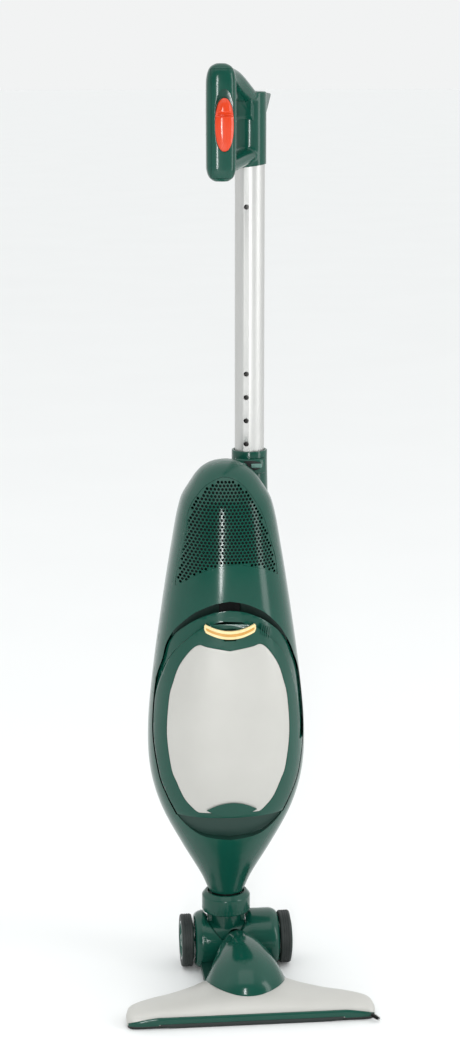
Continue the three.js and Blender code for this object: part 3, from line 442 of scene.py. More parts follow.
body_x, axle_y = ((low + high) / 2 for low, high in zip(*(v[:2] for v in span("suction_duct"))))
wheel_low, wheel_high = span("wheel_tyre_left")
axle_z = (wheel_low[2] + wheel_high[2]) / 2
cheek_radius = 36.0
elbow_radius = 27.0
elbow_half = 22.5


def on_axle(name, radius, x0, x1, end_radius=None, sides=96, edge=0.0):
    return rod(name, (x0, axle_y, axle_z), (x1, axle_y, axle_z), radius, end_radius, sides, edge)


hood = hood_skin("nozzle_hood_shell", 0)
carve(
    hood, hood_skin("tool", 2.5), on_axle("tool", cheek_radius + 0.3, -80, 80), wing("tool", -0.3),
    block("tool", (-60, 40, -5), (60, 105, 15.3)),
)
fit(soften(hood, 0.5, 50), green_abs, "nozzle", "green_abs", "nozzle_hood", sharp=40)

# ---------------------------------------------------------------- carriage
# Two hollow, round-edged drums of green ABS stand beside the knuckle and hold the axle. A dark yoke
# ties them to the nozzle, and they run on in front of the knuckle as a saddle.
dark_abs = moulded("textured_dark_green_abs", "#08332A", "#0C3B32", 0.42, 0.45, 0.012)
finish_node("carriage_yoke", dark_abs)
cheek_outer, cheek_rounding, axle_bore, elbow_throat = 51.8, 12.0, 3.3, 12
for side, word in ((-1, "left"), (1, "right")):
    inner = body_x + side * (elbow_half + 1.1)
    outer = side * cheek_outer
    crown = []
    for share in np.linspace(0, 1, 9):
        crown.append((inner + side * 7 * share, cheek_radius - 5 * (1 - math.sin(share * math.pi / 2))))
    for share in np.linspace(0, 1, 13):
        fall = 8 * (1 - math.cos(share * math.pi / 2))
        place = outer - side * cheek_rounding * (1 - math.sin(share * math.pi / 2))
        crown.append((place, cheek_radius - fall))
    turn = np.linspace(0, 2 * math.pi, 120, endpoint=False)
    drum = loft(f"wheel_cheek_{word}", [
        np.column_stack([np.full(len(turn), x), axle_y + r * np.cos(turn), axle_z + r * np.sin(turn)])
        for x, r in crown
    ])
    split, overlap = body_x + side * 0.15, inner + side * 8
    saddle = carve(
        on_axle("tool", cheek_radius, overlap, split),
        prism("tool", [
            (split, -10), (overlap, -10), (overlap, 60), (inner, 60), (split, 34),
        ], "Y", 60, axle_y - 8),
        operation="INTERSECT",
    )
    carve(saddle, on_axle("tool", elbow_radius + 0.9, -60, 60))
    carve(drum, saddle, operation="UNION")
    carve(
        drum, block("tool", (-80, 60, -20), (80, 200, 4.5)), on_axle("tool", axle_bore, -60, 60),
        on_axle("tool", cheek_radius - 11, inner + side * 2.5, outer - side * 2.5),
        rod("tool", (-3, 60, 38), (-3, axle_y - 20, 38), elbow_throat),
    )
    fit(soften(drum, 0.5, 40), green_abs, "nozzle", "green_abs", f"cheek_{word}", sharp=38)

# ---------------------------------------------------------------- wheels and axle
# Each wheel is a ribbed rubber tyre stretched over a dished green hub, on a plated steel axle.
zinc = bpy.data.materials.new("zinc_plated_steel")
zinc.use_nodes = True
zinc_shader = zinc.node_tree.nodes["Principled BSDF"]
zinc_shader.inputs["Metallic"].default_value = 1.0
zinc_place = add(zinc, "TexCoord").outputs["Object"]
zinc_cloud = add(zinc, "TexNoise", {"Scale": 1 / (3 * MM), "Detail": 4.0}, {"Vector": zinc_place})
zinc_tint = add(
    zinc, "MixRGB", {"Color1": linear("#8F9396"), "Color2": linear("#B4B8BA")},
    {"Fac": zinc_cloud.outputs["Fac"]},
)
zinc_polish = add(
    zinc, "MapRange", {"To Min": 0.25, "To Max": 0.45}, {"Value": zinc_cloud.outputs["Fac"]}
)
zinc.node_tree.links.new(zinc_tint.outputs["Color"], zinc_shader.inputs["Base Color"])
zinc.node_tree.links.new(zinc_polish.outputs["Result"], zinc_shader.inputs["Roughness"])


def turned(name, profile, centre, axis, sides=96):
    """A closed profile of (distance along the axis, radius) turned round an axis of the frame."""
    turn = np.linspace(0, 2 * math.pi, sides, endpoint=False)
    rings = []
    for along, radius in profile:
        flat = {"X": (1, 2, 0), "Y": (2, 0, 1), "Z": (0, 1, 2)}[axis]
        ring = np.empty((sides, 3))
        ring[:, flat[0]] = centre[flat[0]] + radius * np.cos(turn)
        ring[:, flat[1]] = centre[flat[1]] + radius * np.sin(turn)
        ring[:, flat[2]] = centre[flat[2]] + along
        rings.append(ring)
    return loft(name, rings, closed=True)


def rounded(corners, radius, steps=4):
    """A closed profile whose corners are turned round a radius."""
    corners = np.asarray(corners, float)
    points = []
    for i, corner in enumerate(corners):
        before, after = corners[i - 1] - corner, corners[(i + 1) % len(corners)] - corner
        reach_in = min(radius, np.linalg.norm(before) * 0.45)
        reach_out = min(radius, np.linalg.norm(after) * 0.45)
        start = corner + before / np.linalg.norm(before) * reach_in
        end = corner + after / np.linalg.norm(after) * reach_out
        for t in np.linspace(0, 1, steps + 1):
            points.append((1 - t) ** 2 * start + 2 * t * (1 - t) * corner + t**2 * end)
    return points


wheel_x, grip_circle = 60.5, 14.5
for side, word in ((-1, "left"), (1, "right")):
    centre = (side * wheel_x, axle_y, axle_z)
    tyre_profile = rounded([(-7.5, 24.1), (-7.5, 31), (-6, 32), (4.5, 32), (6, 31), (6, 24.1)], 0.9)
    tyre = turned(f"tyre_{word}", tyre_profile, centre, "X", 128)
    grooves = []
    for along in (-3.4, -0.7, 2.0):
        groove = [(along - 0.5, 31.2), (along - 0.7, 33), (along + 0.7, 33), (along + 0.5, 31.2)]
        grooves.append(turned("tool", groove, centre, "X", 128))
    carve(tyre, *grooves)
    fit(tyre, soft_rubber, f"wheel_{word}", "rubber", f"wheel_tyre_{word}")
    hub_profile = rounded([
        (-7.5, 3.1), (-7.5, 7), (-6.4, 8.5), (-6.4, 20.5), (-7.5, 21.5), (-7.5, 23.7),
        (7.5, 23.7), (7.5, 22), (5.4, 20), (4.6, 9), (7.2, 7), (7.2, 3.1),
    ], 0.7, 3)
    hub = turned(f"hub_{word}", [(side * along, radius) for along, radius in hub_profile], centre, "X", 96)
    slots = []
    for k in range(6):
        turn = 2 * math.pi * k / 6
        spot = np.array([0, axle_y + grip_circle * math.cos(turn), axle_z + grip_circle * math.sin(turn)])
        slots.append(rod(
            "tool", spot + [side * (wheel_x + 2.2), 0, 0], spot + [side * 70, 0, 0], 3.4, 3.8, 24,
        ))
    carve(hub, *slots)
    fit(soften(hub, 0.3, 40), green_abs, f"wheel_{word}", "green_abs", f"wheel_hub_{word}")
axle_low, axle_high = span("wheel_axle")
axle = rod(
    "axle_rod", (axle_low[0], axle_y, axle_z), (axle_high[0], axle_y, axle_z), 3.0, sides=48, edge=0.6,
)
fit(axle, zinc, "nozzle", "steel", "wheel_axle")

# ---------------------------------------------------------------- knuckle and swivel collar
# The knuckle is a green drum on the axle with a bored neck. A collar snapped over the neck lets
# the body turn on it.
elbow = on_axle("knuckle_drum", elbow_radius, body_x - elbow_half, body_x + elbow_half, edge=1.2)
collar_foot = span("swivel_collar")[0][2]
neck_top = span("knuckle_elbow")[1][2]
neck_radius, neck_bore = 19, 14
carve(
    elbow, rod("tool", (body_x, axle_y, axle_z), (body_x, axle_y, neck_top), neck_radius, edge=0.8),
    block(
        "tool", (body_x - elbow_half, axle_y - 6, axle_z),
        (body_x + elbow_half, axle_y + 12, collar_foot - 0.3),
    ),
    operation="UNION",
)
carve(
    elbow, rod("tool", (body_x, axle_y, axle_z + 8), (body_x, axle_y, 120), neck_bore),
    rod("tool", (-3, axle_y, 42), (-3, axle_y - 30, 38), elbow_throat),
    on_axle("tool", axle_bore, -60, 60, sides=32),
)
fit(soften(elbow, 0.5), green_abs, "knuckle", "green_abs", "knuckle_elbow")

collar_profile = rounded([
    (71, 19.3), (71, 28.4), (72.6, 29.5), (91, 29.5), (96.4, 25), (96.4, 22.3), (89, 22.3), (89, 19.3),
], 1.0)
collar = turned("body_collar", collar_profile, (body_x, axle_y, 0), "Z", 128)
thumb_grooves = []
for k in range(48):
    turn = 2 * math.pi * (k + 0.5) / 48
    spot = np.array([body_x + 30.1 * math.cos(turn), axle_y + 30.1 * math.sin(turn), 0])
    thumb_grooves.append(rod("tool", spot + [0, 0, 73.5], spot + [0, 0, 77.5], 0.9, sides=10))
carve(collar, *thumb_grooves)
fit(collar, green_abs, "knuckle", "green_abs", "swivel_collar")

# ---------------------------------------------------------------- rear housing
# The back half of the egg-shaped body is one deep green moulding. It has the tunnel for the
# telescopic tube, and a collar at the top where the tube comes out.
body_profile = np.array([
    [98, 21.5, 21.5, 21.5], [119, 30.6, 29, 28], [163, 55.5, 50, 44], [212, 80, 68, 56], [257, 92, 76, 63],
    [310, 94, 79, 66], [376, 88, 80, 67], [451, 77.6, 78, 67], [530, 65, 70, 66], [585, 54, 58, 60],
    [607, 42, 46, 48], [622, 31, 33, 34], [630, 19, 20, 21], [633, 8, 9, 9],
])  # height, half width, front depth and back depth
body_bottom, body_top = body_profile[0, 0], body_profile[-1, 0]
body_middle = (body_bottom + body_top) / 2
widest, deepest = body_profile[:, 1].max(), body_profile[:, 2].max()


def squareness(z):
    """The power of the body's section at a height: 2 is an ellipse, and more is squarer."""
    return 2 + 0.3 * np.clip((np.asarray(z, float) - body_bottom) / 80, 0, 1)


def egg(name, inset, turns=160):
    """The body's skin, moved in by an inset by drawing it together about its middle."""
    heights = np.concatenate([np.arange(body_bottom, 600, 5), np.linspace(600, body_top, 18)])
    turn = np.linspace(0, 2 * math.pi, turns, endpoint=False)
    across, away = np.cos(turn), np.sin(turn)
    rings = []
    for z in heights:
        half, front, back = (float(smooth(body_profile, z, column)) for column in (1, 2, 3))
        power = 2 / squareness(z)
        x = half * np.sign(across) * np.abs(across) ** power
        y = np.where(away < 0, front, back) * np.sign(away) * np.abs(away) ** power
        level = body_middle + (z - body_middle) * (1 - 2 * inset / (body_top - body_bottom))
        rings.append(np.column_stack([
            body_x + x * (1 - inset / widest), axle_y + y * (1 - inset / deepest), np.full(turns, level),
        ]))
    return loft(name, rings)


split_line = np.array([[119, 60], [119, 430], [95, 500], [92, 560], [105, 600], [122, 640]])  # y and height


def ahead(offset):
    """The space in front of the seam between the front covers and the rear housing."""
    outline = [(-40, 60)]
    dense = np.linspace(60, 640, 117)
    for z in dense:
        outline.append((float(np.interp(z, split_line[:, 1], split_line[:, 0])) - offset, z))
    outline.append((-40, 640))
    return prism("tool", outline, "X", -150, 150)


def shell(name):
    return carve(egg(name, 0), egg("tool", 2.5))


tube_low, tube_high = span("handle_tube")
tube_x, tube_y = (tube_low[0] + tube_high[0]) / 2, (tube_low[1] + tube_high[1]) / 2
tube_radius = (tube_high[0] - tube_low[0]) / 2
tunnel_inner = tube_radius + 1.1
tunnel_outer = tunnel_inner + 2.6
tunnel_floor, tunnel_rim = 256.0, 637.0
slot_x, slot_z = 19.5, 621.5
shoulder_start = np.array([tube_x - 4, tube_y - 2, 520])
shoulder_end = np.array([tube_x, tube_y, 626])


def upright(name, radius, x, y, z0, z1, sides=96, edge=0.0):
    return rod(name, (x, y, z0), (x, y, z1), radius, sides=sides, edge=edge)


housing = shell("rear_housing_shell")
carve(housing, ahead(0))
shoulder = rod("tool", shoulder_start, shoulder_end, tunnel_outer + 6, tunnel_outer, 96)
carve(shoulder, egg("tool", 2.5), ahead(0))
boss = carve(
    upright("tool", 26.8, tube_x, tube_y, slot_z - 10.5, slot_z + 7.5, edge=2.5),
    block("tool", (tube_x - 18, 130, 600), (tube_x + 16, tube_y, 640)), operation="INTERSECT",
)
carve(
    housing, upright("tool", tunnel_outer, tube_x, tube_y, tunnel_floor, tunnel_rim, edge=0.8),
    shoulder, boss, operation="UNION",
)
oval = [
    (slot_x + 14.5 * math.cos(turn), slot_z + 6 * math.sin(turn))
    for turn in np.linspace(0, 2 * math.pi, 64, endpoint=False)
]
carve(
    housing, upright("tool", tunnel_inner, tube_x, tube_y, tunnel_floor + 2.5, tunnel_rim + 1),
    prism("tool", oval, "Y", 120, 148.6), rod("tool", (15.3, 140, 618), (15.3, tube_y, 618), 3.0),
    upright("tool", 16.3, body_x, axle_y, body_bottom - 2, body_bottom + 24),
)
screw_words = ("lower_left", "upper_left", "lower_right", "upper_right")
bores = []
for word in screw_words:
    low, high = span(f"housing_screw_{word}")
    middle, radius = (low + high) / 2, (high[0] - low[0]) / 2 + 0.4
    start, end = middle - [0, 14, 0], middle + [0, 14, 0]
    bores.append(rod("tool", start, end, radius, sides=40))
carve(housing, *bores)
fit(soften(housing, 0.6, 38), green_abs, "main_body", "green_abs", "rear_housing", sharp=36)

# ---------------------------------------------------------------- dome cover
# The dome cover is the glossy upper front of the body. It clips to the rear housing along a seam,
# frames the exhaust grille, and its lower edge arches over the bag door.
door_outline = np.array([
    [63, 213], [75, 237], [83.5, 262], [89.6, 311], [85, 372], [75.5, 406], [70, 422], [61, 436.5],
    [52.5, 445.5], [43, 453.5], [33, 459.5], [17, 466], [0, 468.5],
])  # the right half, as half width and height, from the flat lower edge up
cover_edge = np.array([
    [64.5, 211.5], [76.5, 236.4], [85, 261.5], [91, 311], [86.4, 372.5], [77.5, 406], [72.5, 422],
    [63.5, 440], [55, 451], [46, 460.5], [36, 468], [18, 476.5], [0, 480],
])
face_x = body_x - 3.0  # the insert and the latch stand a little left of the body's middle
grille_bottom = np.array([
    [-64, 492], [-48, 504], [-36, 512], [-16, 520], [4, 522.5], [22, 519.5], [40, 514], [56, 505],
])
grille_top = np.array([
    [56, 505], [53.5, 526], [47, 549], [39, 575], [32, 589], [21, 605], [10, 615], [-4, 619.5], [-15, 617],
    [-27, 610], [-37, 599], [-45, 587], [-52, 565], [-56, 545], [-59.5, 526], [-62, 508], [-64, 492],
])
grille_middle = np.array([-4.0, 560.0])
cover_tail = 356.0


def curved(points, each=8):
    """A smooth line through points."""
    points = np.asarray(points, float)
    padded = np.concatenate([points[:1], points, points[-1:]])
    line = []
    for i in range(len(points) - 1):
        a, b, c, d = padded[i:i + 4]
        for t in np.linspace(0, 1, each, endpoint=False):
            line.append(0.5 * (
                2 * b + (c - a) * t + (2 * a - 5 * b + 4 * c - d) * t**2 + (3 * b - a - 3 * c + d) * t**3
            ))
    line.append(points[-1])
    return np.array(line)


def mirrored(half, middle=body_x):
    """A whole outline from its right half, placed on a middle line."""
    right = curved(half)
    left = right[right[:, 0] > 0.01][::-1] * [-1, 1]
    return np.concatenate([right, left]) + [middle, 0]


def door_shape(half):
    """The door's outline, or the arch round it, leaned a little to the left at the top."""
    outline = mirrored(half)
    share = np.clip((outline[:, 1] - 390) / 50, 0, 1)
    outline[:, 0] -= 3 * share**2 * (3 - 2 * share)
    return outline


def grille_edge(grow):
    """The grille's outline, grown about its middle."""
    whole = np.concatenate([curved(grille_bottom), curved(grille_top)[1:-1]])
    scale = [1 + grow / 50, 1 + grow / 58]
    return (whole - grille_middle) * scale + grille_middle + [body_x, 0]


def cover_opening():
    return prism("tool", door_shape(cover_edge), "Y", -20, 130)


dome = shell("dome_cover_shell")
carve(dome, ahead(0.3), block("tool", (-150, -20, cover_tail), (150, 130, 640)), operation="INTERSECT")
grille_hole = carve(prism("tool", grille_edge(0), "Y", -20, 128), ahead(4), operation="INTERSECT")
carve(
    dome, cover_opening(), grille_hole,
    upright("tool", tunnel_outer + 0.3, tube_x, tube_y, 400, 660),
    rod("tool", shoulder_start, shoulder_end, tunnel_outer + 6.3, tunnel_outer + 0.3, 96),
)
fit(soften(dome, 0.8, 38), green_abs, "main_body", "green_abs", "dome_cover", sharp=36)

# ---------------------------------------------------------------- exhaust grille
# The grille is a thin plate of the same green ABS with a few hundred small round holes on a
# triangular pitch. The exhaust air leaves through it from a sheet of grey foam behind.
grille_foot = span("exhaust_grille")[0][2]
hole_pitch, hole_radius, hole_sides = 4.3, 1.6, 10
plate = carve(egg("exhaust_grille_plate", 0.3), egg("tool", 2.1))
inset_edge = carve(prism("tool", grille_edge(-0.3), "Y", -20, 128), ahead(4.3), operation="INTERSECT")
carve(plate, inset_edge, operation="INTERSECT")
zone = grille_edge(-2.4)


def within(outline, x, z):
    """Whether a point lies inside a closed outline."""
    inside = False
    for (x0, z0), (x1, z1) in zip(outline, np.roll(outline, -1, axis=0)):
        if (z0 > z) != (z1 > z) and x < x0 + (z - z0) / (z1 - z0) * (x1 - x0):
            inside = not inside
    return inside


points, faces = [], []
for row in range(36):
    z = grille_foot + 2.5 + row * hole_pitch * math.sqrt(3) / 2
    for column in range(-17, 17):
        x = body_x + (column + row % 2 / 2) * hole_pitch
        if not within(zone, x, z):
            continue
        start = len(points)
        for y in (20.0, 126.0):
            for k in range(hole_sides):
                turn = 2 * math.pi * k / hole_sides
                points.append((x + hole_radius * math.cos(turn), y, z + hole_radius * math.sin(turn)))
        far = start + hole_sides
        for k in range(hole_sides):
            j = (k + 1) % hole_sides
            faces.append((start + k, start + j, far + j, far + k))
        faces.append(tuple(range(start, far))[::-1])
        faces.append(tuple(range(far, far + hole_sides)))
carve(plate, mesh_piece("tool", points, faces))
fit(plate, green_abs, "main_body", "green_abs", "exhaust_grille", sharp=40)

foam, foam_shader, place = surface("open_cell_foam", Roughness=0.95)
cells = add(foam, "TexVoronoi", {"Scale": 1 / (0.9 * MM)}, {"Vector": place})
foam_tint = add(
    foam, "MixRGB", {"Color1": linear("#0B0D0D"), "Color2": linear("#2C3130")},
    {"Fac": cells.outputs["Distance"]},
)
foam.node_tree.links.new(foam_tint.outputs["Color"], foam_shader.inputs["Base Color"])
foam_bump = add(foam, "Bump", {"Distance": 0.4 * MM}, {"Height": cells.outputs["Distance"]})
foam.node_tree.links.new(foam_bump.outputs["Normal"], foam_shader.inputs["Normal"])
finish_node("exhaust_filter", foam)
finish_node("motor_filter", foam)

# ---------------------------------------------------------------- front frame
# The frame is the dark lower front of the body: the jambs of the door opening, the pocket under
# the door that a finger reaches into, and the front of the tapered neck.
door_pocket = np.array([[63, 211.6], [58, 205], [46, 194], [30, 185.5], [0, 181]])
hinge_y, hinge_z = 80.0, 218.0


def grown(outline, distance):
    """An outline moved outwards by a distance, or inwards by a negative one."""
    outline = np.asarray(outline, float)
    along = np.roll(outline, -1, axis=0) - np.roll(outline, 1, axis=0)
    along /= np.linalg.norm(along, axis=1)[:, None]
    return outline + distance * np.column_stack([along[:, 1], -along[:, 0]])


def section_of_egg(name, inset, low, high):
    return carve(egg(name, inset), block("tool", low, high), operation="INTERSECT")


jambs = carve(
    egg("lower_front_frame", 0), ahead(0.3), block("tool", (-150, -20, 97), (150, 130, cover_tail - 0.3)),
    operation="INTERSECT",
)
carve(
    jambs, section_of_egg("tool", 2.5, (-150, 92, body_bottom), (150, 130, cover_tail)),
    section_of_egg("tool", 2.5, (-150, -20, 211.5), (150, 130, cover_tail)),
    cover_opening(), prism("tool", mirrored(door_pocket), "Y", 20, 86),
    upright("tool", 16.3, body_x, axle_y, body_bottom - 2, body_bottom + 24),
)
ears = []
for side in (-1, 1):
    left, right = sorted((body_x + side * 45.5, body_x + side * 50))
    ears.append(block("tool", (left, 77.4, 215.2), (right, 89, 223.5)))
    ears.append(block("tool", (left, 85.2, 206), (right, 89, 223.5)))
carve(jambs, *ears, operation="UNION")
carve(jambs, rod("tool", (body_x - 60, hinge_y, hinge_z), (body_x + 60, hinge_y, hinge_z), 2.1))
fit(soften(jambs, 0.9, 38), green_abs, "main_body", "dark_green_abs", "front_frame", sharp=36)

pocket_edge = mirrored(door_pocket)
# A thin dark liner is laid in the pocket under the door: painted shade, standing in for the shade that
# falls in it.
shade_liner = prism("pocket_painted_shade_liner", pocket_edge, "Y", 30, 85.9)
carve(shade_liner, prism("tool", grown(pocket_edge, -1.2), "Y", 20, 85.0))
carve(shade_liner, egg("tool", 3.2), block("tool", (-150, 20, 150), (150, 100, 211.2)), operation="INTERSECT")
fit(shade_liner, dark_abs, "main_body", "dark_green_abs")
pin_low, pin_high = span("door_hinge_pin")
hinge_pin = rod("hinge_pin", (pin_low[0], hinge_y, hinge_z), (pin_high[0], hinge_y, hinge_z), 1.8, edge=0.4)
fit(hinge_pin, zinc, "main_body", "steel", "door_hinge_pin")

# ---------------------------------------------------------------- bag door
# The door is one thick moulding on a steel pin along its lower edge. Its upper rim steps back from
# the raised face, and a skirt behind it carries the seal and closes on the bag chamber.
insert_outline = np.array([
    [36, 219.5], [42, 224], [53, 237], [62, 257], [68, 274], [72.7, 315], [70, 358], [65, 380], [58, 401],
    [46, 420], [36, 428], [26, 426], [0, 421.5],
])
crease_line = np.array([
    [87, 300], [87.4, 328], [84, 354], [78, 379], [66, 411], [48, 434], [30, 449], [14, 453.5], [0, 455],
])
seal_plane = span("door_seal")[1][1]
door_wall, insert_wall = 4.5, 2.0
latch_half, latch_middle, latch_rise, latch_height, latch_proud = 30.0, 441.0, 8.5, 9.5, 4.0


def smile(half, below, above):
    """The curved band of the latch, between two distances below and above its middle line."""
    across = np.linspace(-half, half, 41)
    middle = latch_middle + latch_rise * (across / latch_half) ** 2
    ends = np.clip((half - np.abs(across)) / 1.6, 0.0, 1.0)
    round_off = 0.45 + 0.55 * np.sqrt(1 - (1 - ends) ** 2)
    low = np.column_stack([across + face_x, middle - below * round_off])
    high = np.column_stack([across + face_x, middle + above * round_off])
    return np.concatenate([low, high[::-1]])


door_edge = door_shape(door_outline)
door = carve(egg("bag_door_shell", 0), egg("tool", door_wall))
carve(door, prism("tool", door_edge, "Y", -20, 112), operation="INTERSECT")
beside, crease_end, below = 120, 300, 150  # a frame round the raised face, wider than the door
raised = np.concatenate([
    [
        [body_x + beside, crease_end], [body_x + beside, below],
        [body_x - beside, below], [body_x - beside, crease_end],
    ],
    mirrored(crease_line, face_x)[::-1],
])
rim_step = carve(egg("tool", -4), egg("tool", 3.0), prism("tool", raised, "Y", -30, 130))
carve(door, rim_step)
skirt = carve(
    prism("tool", grown(door_edge, -12), "Y", 20, seal_plane - 2.7),
    prism("tool", grown(door_edge, -15), "Y", 10, seal_plane),
)
carve(skirt, egg("tool", 1), operation="INTERSECT")
door_parts = [skirt]
for side in (-1, 1):
    left, right = sorted((body_x + side * 38.5, body_x + side * 45))
    door_parts.append(carve(
        block("tool", (left, 54, 213.4), (right, 84.5, 223)), egg("tool", 1), operation="INTERSECT",
    ))
door_parts.append(block("tool", (face_x - 6, 52, 409), (face_x + 6, 66, 412)))
carve(door, *door_parts, operation="UNION")
insert_zone = mirrored(insert_outline, face_x)
insert_seat = carve(egg("tool", -4), egg("tool", insert_wall + 0.3))
carve(insert_seat, prism("tool", insert_zone, "Y", -20, 112), operation="INTERSECT")
finger_recess = []
for x in np.linspace(-23, 23, 31):
    finger_recess.append((face_x + x, latch_middle + latch_rise * (x / latch_half) ** 2 + 3.4))
finger_recess += [(face_x + 21, 455), (face_x + 10, 458), (face_x - 10, 458), (face_x - 21, 455)]
carve(
    door, insert_seat, block("tool", (face_x - 7.3, 30, 433.4), (face_x + 7.3, 58, 446.3)),
    block("tool", (face_x - 12.3, 56, 450), (face_x + 12.3, 60.6, 470)),
    prism("tool", finger_recess, "Y", 30, 53.6),
    rod("tool", (body_x - 60, hinge_y, hinge_z), (body_x + 60, hinge_y, hinge_z), 2.1),
    prism("tool", grown(door_edge, -9.8), "Y", seal_plane - 2.7, 130),
)
soften(door, 0.7, 38)
grips = []
for k in range(5):
    x = body_x + 33.4 + 2.5 * k
    z = latch_middle + 5.5 - 1.6 * k
    rib = carve(egg("tool", -0.9), egg("tool", 1.5))
    rib_outline = rounded([(x - 0.6, z - 7), (x + 0.6, z - 7), (x + 2.4, z + 5), (x + 1.2, z + 5)], 0.4)
    carve(rib, prism("tool", rib_outline, "Y", -20, 90), operation="INTERSECT")
    grips.append(rib)
carve(door, *grips, operation="UNION")
fit(door, green_abs, "door", "green_abs", "bag_door", sharp=36)

# ---------------------------------------------------------------- door insert, hinge cap and seal
# The insert is a silver-painted panel glued into the door. The cap is a green lens that hides the
# middle of the hinge, and a foam rubber seal lies behind the door's skirt.
insert = carve(egg("silver_door_insert", -0.2), egg("tool", insert_wall))
carve(insert, prism("tool", grown(insert_zone, -0.35), "Y", -20, 112), operation="INTERSECT")
fit(soften(insert, 0.6, 45), silver_paint, "door", "silver_plastic", "door_insert", sharp=40)

across = np.linspace(-30, 30, 49)
cap_low = np.column_stack([across + body_x, 223.5 - 8.5 * (1 - (across / 30) ** 2)])
cap_high = np.column_stack([across + body_x, 223.5 + 10 * (1 - (across / 30) ** 2)])[::-1]
cap = carve(egg("hinge_cap_lens", -2.2), egg("tool", -0.5))
carve(cap, prism("tool", np.concatenate([cap_low, cap_high[1:-1]]), "Y", -20, 90), operation="INTERSECT")
fit(soften(cap, 0.8, 40, 3), green_abs, "door", "green_abs", "hinge_cap", sharp=40)
finish_node("door_seal", soft_rubber)

# ---------------------------------------------------------------- latch and its spring
# The latch is a cream bar, curved like a smile, with a darker band along its middle. A stem
# through the door joins it to the hook, and a coiled steel spring behind lifts it.
cream_abs = moulded("cream_abs", "#F2DDA6", "#EDD498", 0.3, 0.7, 0.003)
groove_dark_gold = moulded("latch_groove_dark_gold", "#C98F3E", "#D9A552", 0.35, 0.7, 0.003)
bar_front = carve(egg("latch_bar", -latch_proud), egg("tool", -0.5))
bar_outline = smile(latch_half, latch_height / 2, latch_height / 2)
carve(bar_front, prism("tool", bar_outline, "Y", -20, 90), operation="INTERSECT")
groove = carve(egg("tool", -8), egg("tool", 0.8 - latch_proud))
carve(groove, prism("tool", smile(latch_half - 1.5, 1.9, 1.5), "Y", -20, 90), operation="INTERSECT")
carve(bar_front, groove)
hook_top = span("door_latch")[1][2]
catch_plate = block("latch_hook_plate", (face_x - 12, 57.6, 432), (face_x + 12, 60.2, hook_top))
carve(
    catch_plate, block("tool", (face_x - 7, 50.6, 440), (face_x + 7, 58, 446)),
    block("tool", (face_x - 5, 58, 432), (face_x + 5, 66, 436)), operation="UNION",
)
# The hook plate is near black: painted shade, so that where it shows in the gap above the door it stands in
# for the shade there.
hook_shade_black = moulded("hook_painted_shade_black", "#070808", "#0C0D0D", 0.8, 0.4, 0.01, Specular_IOR_Level=0.15)
fit(soften(catch_plate, 0.5), hook_shade_black, "latch", "black_plastic")
fit(soften(bar_front, 0.9, 45, 3), cream_abs, "latch", "cream_abs", "door_latch", sharp=45)
# A thin strip laid in the groove makes the groove darker gold than the cream bar.
band = carve(egg("latch_band", 0.3 - latch_proud), egg("tool", 0.7 - latch_proud))
carve(band, prism("tool", smile(latch_half - 1.8, 1.6, 1.2), "Y", -20, 90), operation="INTERSECT")
fit(band, groove_dark_gold, "latch", "cream_abs")

spring_low, spring_high = span("latch_spring")
coils, wire = 7, 0.35
spring_x, spring_y = (spring_low[0] + spring_high[0]) / 2, (spring_low[1] + spring_high[1]) / 2
coil_radius = (spring_high[0] - spring_low[0]) / 2 - wire
rings = []
for t in np.linspace(0, 1, coils * 20 + 1):
    turn = 2 * math.pi * coils * t
    out = np.array([math.cos(turn), math.sin(turn), 0])
    height = spring_low[2] + wire + (spring_high[2] - spring_low[2] - 2 * wire) * t
    centre = np.array([spring_x, spring_y, height]) + out * coil_radius
    rings.append([
        centre + wire * (out * math.cos(a) + np.array([0, 0, math.sin(a)]))
        for a in np.linspace(0, 2 * math.pi, 8, endpoint=False)
    ])
spring = loft("latch_coil_spring", rings)
fit(spring, zinc, "door", "steel", "latch_spring", sharp=60)
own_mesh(spring)

# ---------------------------------------------------------------- dust bag, card and chamber
# The dust bag is pleated filter paper, part full, glued to a stiff card that slides over the duct.
# The chamber and duct around it are plain black and dark green mouldings.
filter_paper, paper_shader, place = surface("filter_paper", Roughness=0.85)
pulp = add(filter_paper, "TexNoise", {"Scale": 1 / (1.2 * MM), "Detail": 6.0}, {"Vector": place})
paper_tint = add(
    filter_paper, "MixRGB", {"Color1": linear("#C9B993"), "Color2": linear("#E0D5B8")},
    {"Fac": pulp.outputs["Fac"]},
)
filter_paper.node_tree.links.new(paper_tint.outputs["Color"], paper_shader.inputs["Base Color"])
crumple = add(filter_paper, "TexNoise", {"Scale": 1 / (9 * MM), "Detail": 4.0}, {"Vector": place})
paper_bump = add(filter_paper, "Bump", {"Distance": 1.2 * MM}, {"Height": crumple.outputs["Fac"]})
filter_paper.node_tree.links.new(paper_bump.outputs["Normal"], paper_shader.inputs["Normal"])

